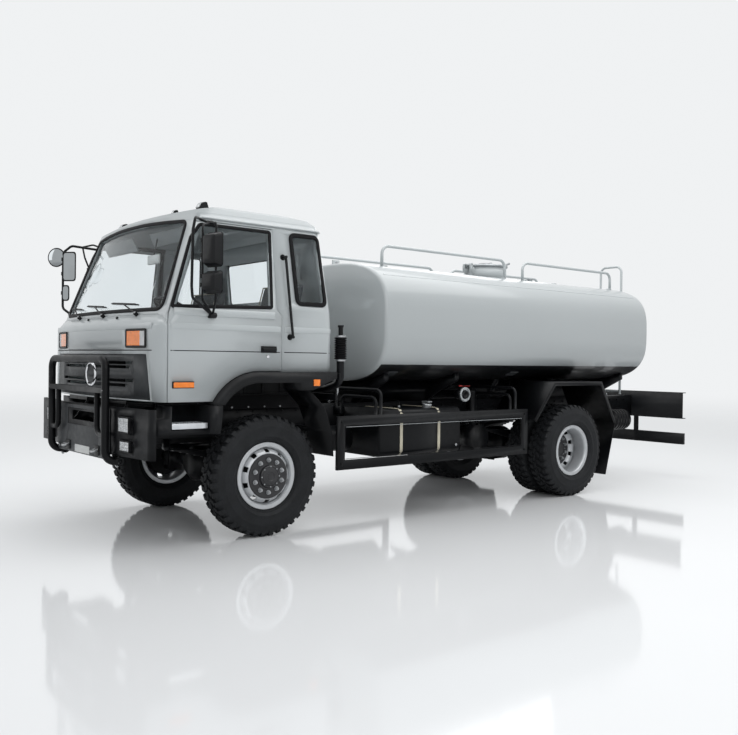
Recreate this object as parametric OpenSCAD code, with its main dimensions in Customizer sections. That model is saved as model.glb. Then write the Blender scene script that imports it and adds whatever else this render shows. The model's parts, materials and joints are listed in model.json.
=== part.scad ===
// Four-wheel-drive water tanker lorry with a forward-control tilt cab.
// Millimetres, +Z up. The lorry faces -Y and its left side is +X.
// Modules draw with y = 0 at the front axle; at_axle() moves them so that the
// origin is the middle of the lorry's footprint on the ground.

/* [Overall] */
// Distance between the axles
wheelbase = 4200; // [3900:50:5100]
// Front axle to the foremost tube of the brush guard
front_overhang = 1345; // [1325:5:1400]
// Rear axle to the back of the tail beam
rear_overhang = 2430; // [2350:10:2900]
// Width over the rear mudguards and the bumper
body_w = 2500; // [2480:10:2560]

/* [Wheels] */
// Outside diameter of a tyre
tyre_d = 1080; // [1040:5:1120]
// Section width of a tyre
tyre_w = 290; // [250:5:300]
// Diameter of the rim at the tyre's bead
bead_d = 514; // [500:1:520]
// Distance between the middles of the front tyres
front_track = 1930; // [1900:5:1960]
// Distance between the middles of the two pairs of rear tyres
rear_track = 1850; // [1840:5:1880]
// Distance between the two tyres of a pair
dual_spacing = 330; // [320:5:345]

/* [Frame] */
// Top of the frame above the axle centres
frame_over_axle = 590; // [560:5:640]
// Width over the two rails
frame_w = 860; // [820:5:880]
// Depth of a rail
rail_h = 280; // [250:5:290]
// Width of a rail's flanges
rail_flange = 80; // [60:5:90]
// Thickness of a rail
rail_t = 10; // [6:1:12]

/* [Cab] */
// Width of the cab at its doors
cab_w = 2400; // [2300:10:2440]
// Width of the cab at the gutters
cab_top_w = 2200; // [2100:10:2300]
// Foremost point of the cab ahead of the front axle
cab_front = 1190; // [1185:1:1200]
// Back of the cab behind the front axle
cab_rear = 650; // [640:5:720]
// Bottom of the cab above the frame
cab_gap = 90; // [85:1:100]
// Height from the cab's bottom to its window sills
sill_h = 790; // [760:5:820]
// Height from the sills to the gutters
window_h = 740; // [700:5:780]
// Height of the roof above the gutters
roof_h = 180; // [150:5:200]
// Thickness of the cab's walls and doors
wall = 45; // [35:1:55]

/* [Tank] */
// Gap between the cab and the tank
tank_gap = 600; // [500:10:700]
// Length of the tank's barrel
tank_l = 4430; // [4150:10:5200]
// Width of the tank
tank_w = 2300; // [2200:10:2360]
// Height of the tank
tank_h = 1250; // [1150:10:1400]
// Height of the cradle between frame and tank
cradle_h = 220; // [200:5:260]
// How far each end of the tank bulges
dish = 100; // [60:5:120]
// Outside diameter of the manhole's neck
manhole_d = 540; // [450:10:600]

/* [Fittings] */
// Diameter of the brush guard's tubes
guard_tube = 66; // [60:2:80]
// Diameter of the top rails' tubes
rail_tube = 34; // [28:1:42]
// Length of the fuel tank
fuel_l = 1100; // [800:20:1300]
// Running clearance of pins and spindles
run = 0.05; // [0.02:0.01:0.1]
// Seat clearance between pieces that bolt together
seat = 0.3; // [0.1:0.1:0.5]
// Gap round each door
door_gap = 8; // [7:0.5:10]

/* [Hidden] */
$fn = 48;

silver = [0.72, 0.75, 0.75];
black = [0.08, 0.08, 0.09];

// Heights from the ground
axle_z = tyre_d / 2;
frame_top = axle_z + frame_over_axle;
frame_bot = frame_top - rail_h;
cab_bot = frame_top + cab_gap;
arch_top = cab_bot + 247;
sill_z = cab_bot + sill_h;
gutter_z = sill_z + window_h;
roof_z = gutter_z + roof_h;
tank_bot = frame_top + cradle_h;
tank_mid = tank_bot + tank_h / 2;
tank_top = tank_bot + tank_h;

// Places along the lorry, from the front axle
middle_y = (wheelbase + rear_overhang - front_overhang) / 2;
tail_y = wheelbase + rear_overhang;
tank_y = cab_rear + tank_gap + dish;
tank_end = tank_y + tank_l;
rail_x = frame_w / 2;

// Draws its children twice, once for each side of the lorry
module both_sides() {
    children();
    mirror([1, 0, 0]) children();
}

// Moves what is drawn round the front axle to the lorry's own origin
module at_axle() {
    translate([0, -middle_y, 0]) children();
}

// A cylinder along X, from x1 to x2
module rod_x(r, x1, x2, y, z) {
    translate([x1, y, z]) rotate([0, 90, 0]) cylinder(r = r, h = x2 - x1);
}

// A cylinder along Y, from y1 to y2
module rod_y(r, y1, y2, x, z) {
    translate([x, y1, z]) rotate([-90, 0, 0]) cylinder(r = r, h = y2 - y1);
}

// A round bar from one point to another
module strut(a, b, r) {
    d = b - a;
    h = norm(d);
    translate(a)
        rotate([0, acos(d[2] / h), atan2(d[1], d[0])])
            cylinder(r = r, h = h);
}

// A box from its lowest corner to its highest
module block(a, b) {
    translate(a) cube(b - a);
}

// Extrudes a side view, drawn as (y, z), from x1 to x2
module side_plate(x1, x2) {
    translate([x1, 0, 0]) rotate([90, 0, 90]) linear_extrude(x2 - x1) children();
}

// Extrudes a front view, drawn as (x, z), from y1 to y2
module front_plate(y1, y2) {
    translate([0, y2, 0]) rotate([90, 0, 0]) linear_extrude(y2 - y1) children();
}

// ---------------------------------------------------------------- frame

front_end_y = -1060;
cross_y = [front_end_y + 15, 960, 2450, wheelbase - 830, wheelbase + 760, tail_y - 400];

// One rail: a channel open towards the middle
module rail() {
    front_plate(front_end_y, tail_y - beam_flange - seat)
        translate([rail_x - rail_flange, frame_bot])
            difference() {
                square([rail_flange, rail_h]);
                translate([-rail_t, rail_t])
                    square([rail_flange, rail_h - 2 * rail_t]);
            }
}

cab_post_y = 560;
cab_post_w = 60;

// Posts behind the cab that it rests and latches on
module cab_post() {
    block([rail_x - cab_post_w - rail_t, cab_post_y, frame_top],
        [rail_x - rail_t, cab_post_y + cab_post_w, arch_top - seat]);
}

// Ears that carry the cab's tilt pin
module pivot_ear() {
    ear_x = rail_x - rail_t;
    side_plate(ear_x, rail_x)
        polygon([[front_end_y, frame_bot + 20], [pivot_y - 45, pivot_z - 45],
            [pivot_y - 45, pivot_z + 45], [front_end_y, frame_top - 20]]);
    rod_x(pivot_r, ear_x, rail_x + arm_gap + arm_t + 10, pivot_y, pivot_z);
}

module chassis_frame() {
    color(black) {
        both_sides() {
            rail();
            cab_post();
            pivot_ear();
        }
        for (y = cross_y)
            block([-rail_x + rail_t - 1, y, frame_top - 120],
                [rail_x - rail_t + 1, y + 70, frame_top - 30]);
        tow_bracket();
    }
}

tow_hole_r = 22;
tow_t = 24;
tow_y = tail_y - 110;
tow_z = frame_bot - 75;

// Plate with the rear towing eye, under the last cross member
module tow_bracket() {
    top = frame_top - 120;
    y0 = tail_y - 400;
    difference() {
        side_plate(-tow_t / 2, tow_t / 2)
            polygon([[y0, top + 1], [y0, frame_bot - 50], [tow_y - 50, tow_z - 55],
                [tow_y + 55, tow_z - 55], [tow_y + 55, tow_z + 55], [tow_y - 60, tow_z + 55],
                [y0 + 70, top - 10], [y0 + 70, top + 1]]);
        rod_x(tow_hole_r, -tow_t, tow_t, tow_y, tow_z);
    }
}

// ---------------------------------------------------------------- cab tilt pivot

pivot_y = -1150;
pivot_z = cab_bot - 270;
pivot_r = 20;
arm_t = 20;
arm_gap = 6;

// Arm under the cab floor that turns on the tilt pin
module tilt_arm() {
    x1 = rail_x + arm_gap;
    top = cab_bot - seat;
    difference() {
        side_plate(x1, x1 + arm_t)
            polygon([[pivot_y - 40, pivot_z - 20], [pivot_y + 30, pivot_z - 40],
                [-850, top - 60], [-760, top - 30], [-760, top], [-1040, top],
                [pivot_y + 100, pivot_z + 215], [pivot_y - 40, pivot_z + 25]]);
        rod_x(pivot_r + run, x1 - 1, x1 + arm_t + 1, pivot_y, pivot_z);
    }
}

module cab_subframe() {
    color(black) {
        both_sides() {
            tilt_arm();
            block([rail_x + arm_gap + arm_t - 1, -1040, cab_bot - 50],
                [cab_w / 2 - 280, -1000, cab_bot - seat]);
        }
        block([-rail_x - arm_gap - 1, -1040, cab_bot - 50], [rail_x + arm_gap + 1, -1000, cab_bot - seat]);
    }
}

// ---------------------------------------------------------------- bumper and lamps

bumper_z1 = frame_bot - 90;
bumper_z2 = cab_bot - 55;
bumper_y = -1255;
bumper_end_y = -1145;
bumper_t = 10;
lamp_x = [745, 955];
head_z = [bumper_z2 - 205, bumper_z2 - 75];
fog_x = [765, 955];
fog_z = [bumper_z2 - 360, bumper_z2 - 270];

// Plan of the bumper, swept back to its rounded ends; t is how far inside it
module bumper_plan(t) {
    half = body_w / 2;
    offset(delta = -t) offset(r = 60) offset(delta = -60)
        polygon([[-half, 300], [-half, bumper_y + 60], [-1000, bumper_y + 50], [-560, bumper_y],
            [560, bumper_y], [1000, bumper_y + 50], [half, bumper_y + 60], [half, 300]]);
}

module lamp_block(xs, zs, grow, y1, y2) {
    block([xs[0] - grow, y1, zs[0] - grow], [xs[1] + grow, y2, zs[1] + grow]);
}

module front_bumper() {
    inner = 60;
    color(black) {
        difference() {
            translate([0, 0, bumper_z1]) linear_extrude(bumper_z2 - bumper_z1)
                difference() {
                    bumper_plan(0);
                    bumper_plan(bumper_t);
                    translate([-body_w, bumper_end_y]) square([2 * body_w, 2000]);
                }
            both_sides() {
                lamp_block(lamp_x, head_z, 0, bumper_y - 100, bumper_y + 200);
                lamp_block(fog_x, fog_z, 0, bumper_y - 100, bumper_y + 200);
            }
            block([-260, bumper_y - 50, bumper_z2 - 155], [260, bumper_y + 50, bumper_z2 - 70]);
        }
        both_sides() {
            block([rail_x - rail_t - inner, bumper_y + bumper_t - 1, frame_bot + 40],
                [rail_x - rail_t - seat, front_end_y + 60, frame_top - 130]);
            guard_hinge();
        }
    }
}

module road_lamps() {
    depth = 70;
    back = bumper_y + 68;
    color([0.9, 0.9, 0.92])
        both_sides() {
            lamp_block(lamp_x, head_z, -seat, bumper_y + 8, back + depth - 20);
            lamp_block(fog_x, fog_z, -seat, bumper_y + 14, back + depth - 20);
            tail_lamp();
        }
}

// ---------------------------------------------------------------- brush guard

guard_y = -front_overhang + guard_tube / 2;
guard_x = 635;
guard_r = guard_tube / 2;
guard_top = cab_bot + 374 - guard_r;
guard_bend = 90;
guard_bar_z = cab_bot + 80;
guard_pin_y = -1190;
guard_pin_z = bumper_z1 - 54;
guard_pin_r = 12;

// Lug under the bumper with the guard's hinge pin
module guard_hinge() {
    x1 = guard_x - guard_r - 12;
    block([x1 - 10, guard_pin_y - 30, guard_pin_z - 25], [x1, guard_pin_y + 30, bumper_z1 + 1]);
    block([x1 - 10, bumper_y + bumper_t - 1, bumper_z1], [x1, guard_pin_y + 30, bumper_z1 + 60]);
    rod_x(guard_pin_r, x1 - 1, guard_x + guard_r + 10, guard_pin_y, guard_pin_z);
}

// A bend of tube in the YZ plane about (x, y, z), from one angle to another;
// 0 degrees is rearward and 90 is up
module bend_yz(r, bend_r, x, y, z, a1, a2) {
    translate([x, y, z]) rotate([90, 0, 90]) rotate([0, 0, a1])
        rotate_extrude(angle = a2 - a1) translate([bend_r, 0]) circle(r = r);
}

// A bend of tube in the XZ plane; 0 degrees is towards +X and 90 is up
module bend_xz(r, bend_r, x, y, z, a1, a2) {
    translate([x, y, z]) rotate([90, 0, 0]) rotate([0, 0, a1])
        rotate_extrude(angle = a2 - a1) translate([bend_r, 0]) circle(r = r);
}

stay_x = guard_x - 175;
stay_r = 24;
stay_bend = 70;

// Inner tube that drops from the cross bar and turns outward to the post
module guard_stay() {
    low = guard_bar_z - 300;
    translate([stay_x, guard_y, low]) cylinder(r = stay_r, h = 300);
    bend_xz(stay_r, stay_bend, stay_x + stay_bend, guard_y, low, 180, 270);
    rod_x(stay_r, stay_x + stay_bend, guard_x, guard_y, low - stay_bend);
}

module guard_post() {
    foot_z = guard_pin_z;
    rod_y(guard_r, guard_y + guard_bend, guard_pin_y, guard_x, foot_z);
    bend_yz(guard_r, guard_bend, guard_x, guard_y + guard_bend, foot_z + guard_bend, 180, 270);
    translate([guard_x, guard_y, foot_z + guard_bend])
        cylinder(r = guard_r, h = guard_top - 2 * guard_bend - foot_z);
    bend_xz(guard_r, guard_bend, guard_x - guard_bend, guard_y, guard_top - guard_bend, 0, 90);
    rod_x(guard_r + 8, guard_x - guard_r - 6, guard_x + guard_r + 6, guard_pin_y, foot_z);
}

module brush_guard() {
    color(black)
        difference() {
            union() {
                both_sides() {
                    guard_post();
                    guard_stay();
                }
                rod_x(guard_r, guard_bend - guard_x, guard_x - guard_bend, guard_y, guard_top);
                block([-guard_x, guard_y - 32, guard_bar_z - 22],
                    [guard_x, guard_y + 32, guard_bar_z + 22]);
            }
            rod_x(guard_pin_r + run, -2 * guard_x, 2 * guard_x, guard_pin_y, guard_pin_z);
        }
}

// ---------------------------------------------------------------- cab body

screen_base_z = sill_z - 60;
screen_base_y = -cab_front + 80;
screen_lean = 20;
crease_z = cab_bot + 620;
arch_y = -170;
arch_r = 520;
cab_corner = 120;

// Foremost point of the windscreen's plane at height z
function screen_y(z) = screen_base_y + (z - screen_base_z) * tan(screen_lean);

// Half the cab's width at height z
function side_x(z) = z < sill_z ? cab_w / 2
    : cab_w / 2 - (cab_w - cab_top_w) / 2 * (z - sill_z) / window_h;

// Levels of the cab's skin: height, foremost point, back, half width and
// how far the nose bows back at its corners
LEVELS = [
    [cab_bot, -cab_front, cab_rear, cab_w / 2, 110],
    [crease_z, -cab_front, cab_rear, cab_w / 2, 110],
    [screen_base_z, screen_base_y, cab_rear - 8, cab_w / 2, 120],
    [sill_z, screen_y(sill_z), cab_rear - 12, cab_w / 2, 120],
    [gutter_z, screen_y(gutter_z), cab_rear - 85, cab_top_w / 2, 120],
    [gutter_z + roof_h * 0.3, screen_y(gutter_z) + 20, cab_rear - 100, cab_top_w / 2 - 18, 120],
    [gutter_z + roof_h * 0.6, screen_y(gutter_z) + 110, cab_rear - 135, cab_top_w / 2 - 85, 110],
    [gutter_z + roof_h * 0.85, screen_y(gutter_z) + 290, cab_rear - 220, cab_top_w / 2 - 240, 80],
    [roof_z, screen_y(gutter_z) + 560, cab_rear - 350, cab_top_w / 2 - 520, 40]
];

// Plan of the cab at one level, t millimetres under its skin
module cab_plan(level, t) {
    y1 = level[1];
    a = level[3];
    offset(r = cab_corner - t / 2) offset(delta = t / 2 - cab_corner)
        offset(delta = -t)
            polygon([[a, level[2]], [-a, level[2]],
                for (i = [-6 : 6]) [a * i / 6, y1 + level[4] * i * i / 36]]);
}

// Height of level i, t millimetres under the skin; only the floor and the
// roof move with t
function level_z(i, t) = LEVELS[i][0] + (i == 0 ? t : i > 3 ? -t : 0);

// The cab's outer form, t millimetres under its skin: each level is joined to
// the next
module cab_form(t) {
    band = 1;
    for (i = [0 : len(LEVELS) - 2])
        hull() {
            translate([0, 0, level_z(i, t)])
                linear_extrude(band) cab_plan(LEVELS[i], t);
            translate([0, 0, level_z(i + 1, t) - band])
                linear_extrude(band) cab_plan(LEVELS[i + 1], t);
        }
}

// The form with its floor stepped up over the front wheels
module cab_volume(t) {
    difference() {
        cab_form(t);
        side_plate(-2000, 2000) offset(delta = t) arch_view();
    }
}

// Side view of the space that the cab leaves for the wheels and the frame
module arch_view() {
    translate([arch_y, arch_top - arch_r]) circle(r = arch_r, $fn = 96);
    translate([arch_y, 0]) square([cab_rear * 4, arch_top]);
}

module cab_walls() {
    difference() {
        cab_volume(0);
        cab_volume(wall);
    }
}

// Window outlines, drawn as (y, z) or (x, z)
module door_window() {
    polygon([[-975, sill_z - 5], [-55, sill_z + 25], [-30, gutter_z - 60],
        [-690, gutter_z - 60], [-775, gutter_z - 190]]);
}

module quarter_window() {
    offset(r = 45) offset(delta = -45)
        polygon([[235, sill_z + 75], [530, sill_z + 75], [490, gutter_z - 60], [205, gutter_z - 60]]);
}

module rear_window() {
    translate([-650, sill_z + 150]) square([1300, 420]);
}

module screen_window() {
    offset(r = 60) offset(delta = -60)
        polygon([[-1035, sill_z - 25], [1035, sill_z - 25],
            [925, gutter_z - 20], [600, gutter_z - 2], [250, gutter_z + 10],
            [-250, gutter_z + 10], [-600, gutter_z - 2], [-925, gutter_z - 20]]);
}

// Side outline of a doorway
module doorway() {
    polygon([[-1030, cab_bot - 50], [-1030, crease_z + 20], [-735, gutter_z - 20],
        [10, gutter_z - 20], [10, sill_z + 10], [65, sill_z - 50], [65, cab_bot - 50]]);
}

// Side outline of a door at inset g; its bottom follows the wheel arch
module door_view(g) {
    offset(delta = -g)
        difference() {
            doorway();
            arch_view();
        }
}

// A solid that reaches through one side of the cab, for its doors and windows
module through_side(depth) {
    side_plate(depth, cab_w) children();
}

door_x = cab_top_w / 2 - 120;
door_depth = 70;
seal_t = 14;
hinge_clear = 130;

// A doorway's share of the cab's side, which stops short of the round front
// corner
module through_door(grow) {
    in = door_depth + grow;
    intersection() {
        through_side(door_x - 100) children();
        front_plate(-2000, 2000)
            polygon([[cab_w / 2 - in, 0], [cab_w / 2 - in, sill_z], [cab_top_w / 2 - in, gutter_z],
                [cab_top_w / 2 - in, roof_z], [cab_w, roof_z], [cab_w, 0]]);
    }
}

module cab_openings() {
    both_sides() {
        difference() {
            through_door(door_gap) doorway();
            cab_form(wall + seat);
        }
        through_side(door_x) quarter_window();
    }
    front_plate(0, 2000) rear_window();
    front_plate(-2000, -500) screen_window();
}

// What belongs to the roof: all above the gutters
module roof_zone(grow) {
    block([-cab_w, -2000, gutter_z - grow], [cab_w, 2000, roof_z + 200]);
}

// What belongs to the front panel: the nose below the screen
module nose_zone(grow) {
    block([-cab_w, -2000, cab_bot - 50], [cab_w, -1030 - grow, sill_z - 75 - grow]);
}

hump_x = 400;
hump_top = cab_bot + 400;
hump_t = 12;

// Tunnel over the engine, open to the front, back and below
module hump(grow, y1, y2) {
    block([-hump_x + grow, y1, cab_bot - 100], [hump_x - grow, y2, hump_top - grow]);
}

module cab_shell() {
    color(silver)
        difference() {
            union() {
                difference() {
                    cab_walls();
                    cab_openings();
                    roof_zone(seat);
                    nose_zone(0);
                }
                intersection() {
                    cab_volume(1);
                    hump(0, -1030, cab_rear);
                }
            }
            hump(hump_t, -3000, 3000);
        }
}

module cab_front_panel() {
    color(silver)
        difference() {
            intersection() {
                cab_walls();
                nose_zone(seat);
            }
            grille_block(seat);
            hump(0, -1130, 3000);
            both_sides() turn_lamp_block(0);
        }
}

drip_y = -680;

module cab_roof() {
    color(silver) {
        difference() {
            intersection() {
                cab_walls();
                roof_zone(0);
            }
            front_plate(-2000, -500) screen_window();
        }
        difference() {
            intersection() {
                cab_form(-16);
                block([-cab_w, drip_y, gutter_z + seat], [cab_w, 2000, gutter_z + 14]);
            }
            cab_volume(wall / 2);
        }
    }
}

grille_z = [cab_bot + 12, cab_bot + 387];

// The black trapezium in the nose that carries the cooling slots
module grille_block(grow) {
    front_plate(-2000, -1050)
        polygon([[-1050 - grow, grille_z[0] - grow], [1050 + grow, grille_z[0] - grow],
            [985 + grow, grille_z[1] + grow], [-985 - grow, grille_z[1] + grow]]);
}

module cab_grille() {
    slots = [[300, 780], [265, 740], [150, 800], [110, 700]];
    color([0.2, 0.21, 0.22])
        difference() {
            intersection() {
                difference() {
                    cab_volume(4);
                    cab_volume(34);
                }
                grille_block(0);
            }
            for (s = slots)
                front_plate(-2000, -900)
                    polygon([[-s[1], cab_bot + s[0]], [s[1] - 20, cab_bot + s[0]],
                        [s[1], cab_bot + s[0] + 26], [-s[1] + 20, cab_bot + s[0] + 26]]);
        }
}

glass_in = 12;
glass_t = 5;

// A pane that fills the window drawn by its children
module pane() {
    intersection() {
        difference() {
            cab_volume(glass_in);
            cab_volume(glass_in + glass_t);
        }
        children();
    }
}

module cab_glass() {
    color([0.6, 0.7, 0.72, 0.5]) {
        pane() both_sides() through_side(door_x) offset(delta = -seat) quarter_window();
        pane() front_plate(0, 2000) offset(delta = -seat) rear_window();
        pane() front_plate(-2000, -500) offset(delta = -seat) screen_window();
    }
}

fender_out = body_w / 2 - 15;
fender_w = 95;

// Upper arch of the front wing, which tilts with the cab
module cab_fenders() {
    split_z = cab_bot - 30;
    color(black)
        both_sides()
            side_plate(cab_w / 2 - 250, fender_out)
                difference() {
                    union() {
                        translate([arch_y, arch_top - arch_r]) circle(r = arch_r - seat, $fn = 96);
                        polygon([[arch_y, 0], [arch_y, arch_top - seat], [cab_rear, arch_top - seat],
                            [cab_rear, arch_top - 60], [380, arch_top - 165], [300, 0]]);
                    }
                    translate([arch_y, arch_top - arch_r])
                        circle(r = arch_r - fender_w, $fn = 96);
                    translate([arch_y - 1, -200]) square([420, arch_top - fender_w + 200]);
                    translate([-1000, -200]) square([2000, split_z + 200]);
                    translate([200, -200]) square([1000, arch_top - 165 + 200]);
                }
}

turn_x = [690, 975];
turn_z = [cab_bot + 452, cab_bot + 584];

module turn_lamp_block(grow) {
    block([turn_x[0] - grow, -1300, turn_z[0] - grow], [turn_x[1] + grow, -1000, turn_z[1] + grow]);
}

marker_x = [-810, 330, 810];

module cab_lamps() {
    color("orange") {
        both_sides() {
            intersection() {
                difference() {
                    cab_volume(-8);
                    cab_volume(wall);
                }
                turn_lamp_block(-seat);
            }
        }
        for (x = marker_x)
            marker_lamp(x);
    }
}

// A clearance lamp that stands on the roof
module marker_lamp(x) {
    difference() {
        translate([x, -560, roof_z - 110]) cylinder(r1 = 52, r2 = 34, h = 160);
        cab_volume(-seat);
    }
}

module dashboard() {
    inner = cab_w / 2 - wall - 155;
    front_y = -cab_front + wall + 165;
    color(black) {
        difference() {
            side_plate(-inner, inner)
                polygon([[front_y, sill_z - 260], [-800, sill_z - 300], [-760, sill_z - 110],
                    [-830, sill_z - 50], [front_y + 60, sill_z - 50], [front_y, sill_z - 150]]);
            hump(-seat, -3000, 3000);
        }
        block([-260, front_y + 60, hump_top + seat], [260, -820, sill_z - 200]);
        strut([wheel_x, hub_y - column_l * sin(column_tilt), hub_z - column_l * cos(column_tilt)],
            [wheel_x, hub_y, hub_z], 28);
    }
}

wheel_x = 560;
column_tilt = 30;
column_l = 330;
hub_y = -640;
hub_z = sill_z - 60;

module steering_wheel() {
    ring_r = 225;
    color(black)
        translate([wheel_x, hub_y, hub_z]) rotate([-column_tilt, 0, 0]) {
            translate([0, 0, seat]) cylinder(r = 55, h = 40);
            translate([0, 0, 45]) rotate_extrude() translate([ring_r, 0]) circle(r = 15, $fn = 24);
            for (a = [90, 210, 330])
                rotate([0, 0, a]) translate([30, -14, 22]) cube([ring_r - 25, 28, 16]);
        }
}

// One seat from x1 to x2: base, cushion, back and headrest
module seat_set(x1, x2) {
    z0 = arch_top + wall;
    m = (x1 + x2) / 2;
    block([x1 + 60, -180, z0 + seat], [x2 - 60, 260, z0 + 130]);
    block([x1, -260, z0 + 130], [x2, 300, z0 + 270]);
    side_plate(x1 + 20, x2 - 20)
        polygon([[200, z0 + 269], [330, z0 + 269], [455, z0 + 760], [350, z0 + 760]]);
    side_plate(m - 140, m + 140)
        polygon([[365, z0 + 759], [445, z0 + 759], [470, z0 + 950], [385, z0 + 950]]);
}

module seats() {
    color([0.3, 0.31, 0.32]) {
        seat_set(415, 1005);
        seat_set(-1005, -415);
    }
}

// ---------------------------------------------------------------- doors and mirrors

module door_left() {
    color(silver)
        difference() {
            intersection() {
                cab_form(0);
                through_door(0) door_view(door_gap);
            }
            cab_form(wall);
            translate([0, 0, -wall - 10]) cab_form(wall);
            through_side(door_x - 110) door_window();
        }
}

// Rubber strip inside each doorway that the door closes against, left out
// along the hinged edge, where the door turns in
module door_seals() {
    color(black)
        both_sides()
            intersection() {
                difference() {
                    cab_volume(wall + seat);
                    cab_form(wall + seal_t);
                }
                through_side(door_x - 60) difference() {
                    door_view(-12);
                    door_view(door_gap + 18);
                    polygon([[-1530, 0], [hinge_clear - 1030, 0], [hinge_clear - 1030, crease_z + 20],
                        [hinge_clear - 735, gutter_z - 20], [hinge_clear - 735, roof_z], [-1530, roof_z]]);
                }
            }
}

module door_glass_left() {
    color([0.6, 0.7, 0.72, 0.5])
        pane() through_door(-seat) offset(delta = -seat) door_window();
}

mirror_y = -790;
mirror_reach = 1535;
mirror_x = mirror_reach - 95;
mirror_tube = 11;
clamp_h = 34;

far_mirror = [1400, -945];
far_turn = 141.6;
round_r = 105;

// A pad that a mirror's stay stands on, against the door's skin at height z
module mirror_pad(y, z) {
    x = side_x(z - 25) + seat;
    block([x, y - 25, z - 25], [x + 12, y + 25, z + 25]);
}

module mirrors_left() {
    r = mirror_tube;
    top = [side_x(gutter_z - 80) + seat + r, -700, gutter_z - 62];
    foot = [cab_w / 2 + seat + r, -640, sill_z - 80];
    z1 = sill_z + 60;
    z2 = gutter_z - 30;
    corner = [mirror_x - 60, mirror_y + 30, z2];
    head_y = [mirror_y + r - 4, mirror_y + 62];
    color(black) {
        mirror_pad(top[1], top[2]);
        mirror_pad(foot[1], foot[2]);
        strut(top, corner, r);
        strut(corner, [mirror_x, mirror_y, z2 - 50], r);
        translate([mirror_x, mirror_y, z1]) cylinder(r = r, h = z2 - 50 - z1);
        strut([mirror_x, mirror_y, z1], foot, r);
        for (p = [corner, [mirror_x, mirror_y, z2 - 50], [mirror_x, mirror_y, z1]])
            translate(p - [0, 0, clamp_h / 2]) cylinder(r = r + 3, h = clamp_h);
        block([mirror_reach - 180, head_y[0], z2 - 370], [mirror_reach, head_y[1], z2 - 90]);
        block([mirror_reach - 180, head_y[0], z1 + 60], [mirror_reach, head_y[1], z1 + 235]);
    }
}

// The far side's set, drawn on the near side: a tall, a small and a round head
// on one bent tube
module mirrors_right() {
    r = mirror_tube;
    tall_z = [sill_z + 350, gutter_z - 90];
    small_z = [sill_z + 145, sill_z + 310];
    top = [side_x(gutter_z - 80) + seat + r, -660, gutter_z - 62];
    foot = [cab_w / 2 + seat + r, -830, sill_z - 65];
    shoulder = [far_mirror[0] - 70, far_mirror[1] + 60, gutter_z - 22];
    high = [far_mirror[0], far_mirror[1], gutter_z - 85];
    low = [far_mirror[0], far_mirror[1], sill_z + 95];
    out = (mirror_reach - far_mirror[0] + (r - 4) * sin(180 - far_turn)) / cos(180 - far_turn) - round_r;
    color(black) {
        mirror_pad(top[1], top[2]);
        mirror_pad(foot[1], foot[2]);
        strut(top, shoulder, r);
        strut(shoulder, high, r);
        strut(high, low, r);
        strut(low, foot, r);
        for (p = [shoulder, high, low])
            translate(p - [0, 0, clamp_h / 2]) cylinder(r = r + 3, h = clamp_h);
        translate([far_mirror[0], far_mirror[1], 0]) rotate([0, 0, far_turn]) {
            block([r - 4, -22, tall_z[0]], [158, 22, tall_z[1]]);
            block([r - 4, -18, small_z[0]], [92, 18, small_z[1]]);
            translate([-out, r - 4, gutter_z - 140]) rotate([-90, 0, 0])
                cylinder(r = round_r, h = 28, $fn = 96);
        }
    }
}

// ---------------------------------------------------------------- steps

step_y = [-1000, -640];

// Step well in front of the front wheel, with the lower end of the wing
module cab_steps() {
    z1 = cab_bot - 270;
    z2 = cab_bot - 34;
    inner = cab_w / 2 - 260;
    out = cab_w / 2;
    color(black)
        both_sides() {
            block([inner, step_y[0], z1], [out, step_y[1], z1 + 40]);
            block([inner, step_y[0], z1], [inner + 12, step_y[1], z2]);
            block([inner, step_y[0], z1], [out, step_y[0] + 12, z2]);
            block([lamp_x[1] + 10, bumper_end_y + 6, z1], [out, step_y[0] + 1, cab_bot - 137]);
            side_plate(inner, fender_out)
                polygon([[step_y[1] - 12, z1], [step_y[1] - 12, z2], [-632, z2], [-540, z2],
                    [-548, z1 + 100], [-560, z1]]);
            block([rail_x + seat, -900, z1 + 5], [inner + 1, -840, z1 + 65]);
            rear_liner();
            block([rail_x + seat, 625, frame_bot + 40], [cab_w / 2 - 440, 665, frame_bot + 90]);
        }
}

// Rear half of the front wing, carried by the frame
module rear_liner() {
    t = 8;
    side_plate(cab_w / 2 - 450, cab_w / 2 - 40)
        polygon([[400, arch_top - 172], [560, arch_top - 330], [650, frame_bot + 60],
            [668, frame_bot - 170], [668 + t, frame_bot - 170], [650 + t, frame_bot + 60],
            [566, arch_top - 325], [405, arch_top - 168]]);
}

// ---------------------------------------------------------------- axles and steering

// Housing of an axle's gears: a drum along Y that narrows at both ends
module gear_drum(r, x, y) {
    half = r * 0.45;
    narrow = r * 0.35;
    rod_y(r, y - half, y + half, x, axle_z);
    translate([x, y + half, axle_z]) rotate([-90, 0, 0]) cylinder(r1 = r, r2 = r * 0.6, h = narrow);
    translate([x, y - half, axle_z]) rotate([90, 0, 0]) cylinder(r1 = r, r2 = r * 0.6, h = narrow);
}

kingpin_x = front_track / 2 - 145;
kingpin_r = 22;
fork_z = 100;
fork_t = 30;
arm_l = 260;
tie_z = axle_z - 70;
ball_r = 12;
pinion_x = 140;

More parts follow.
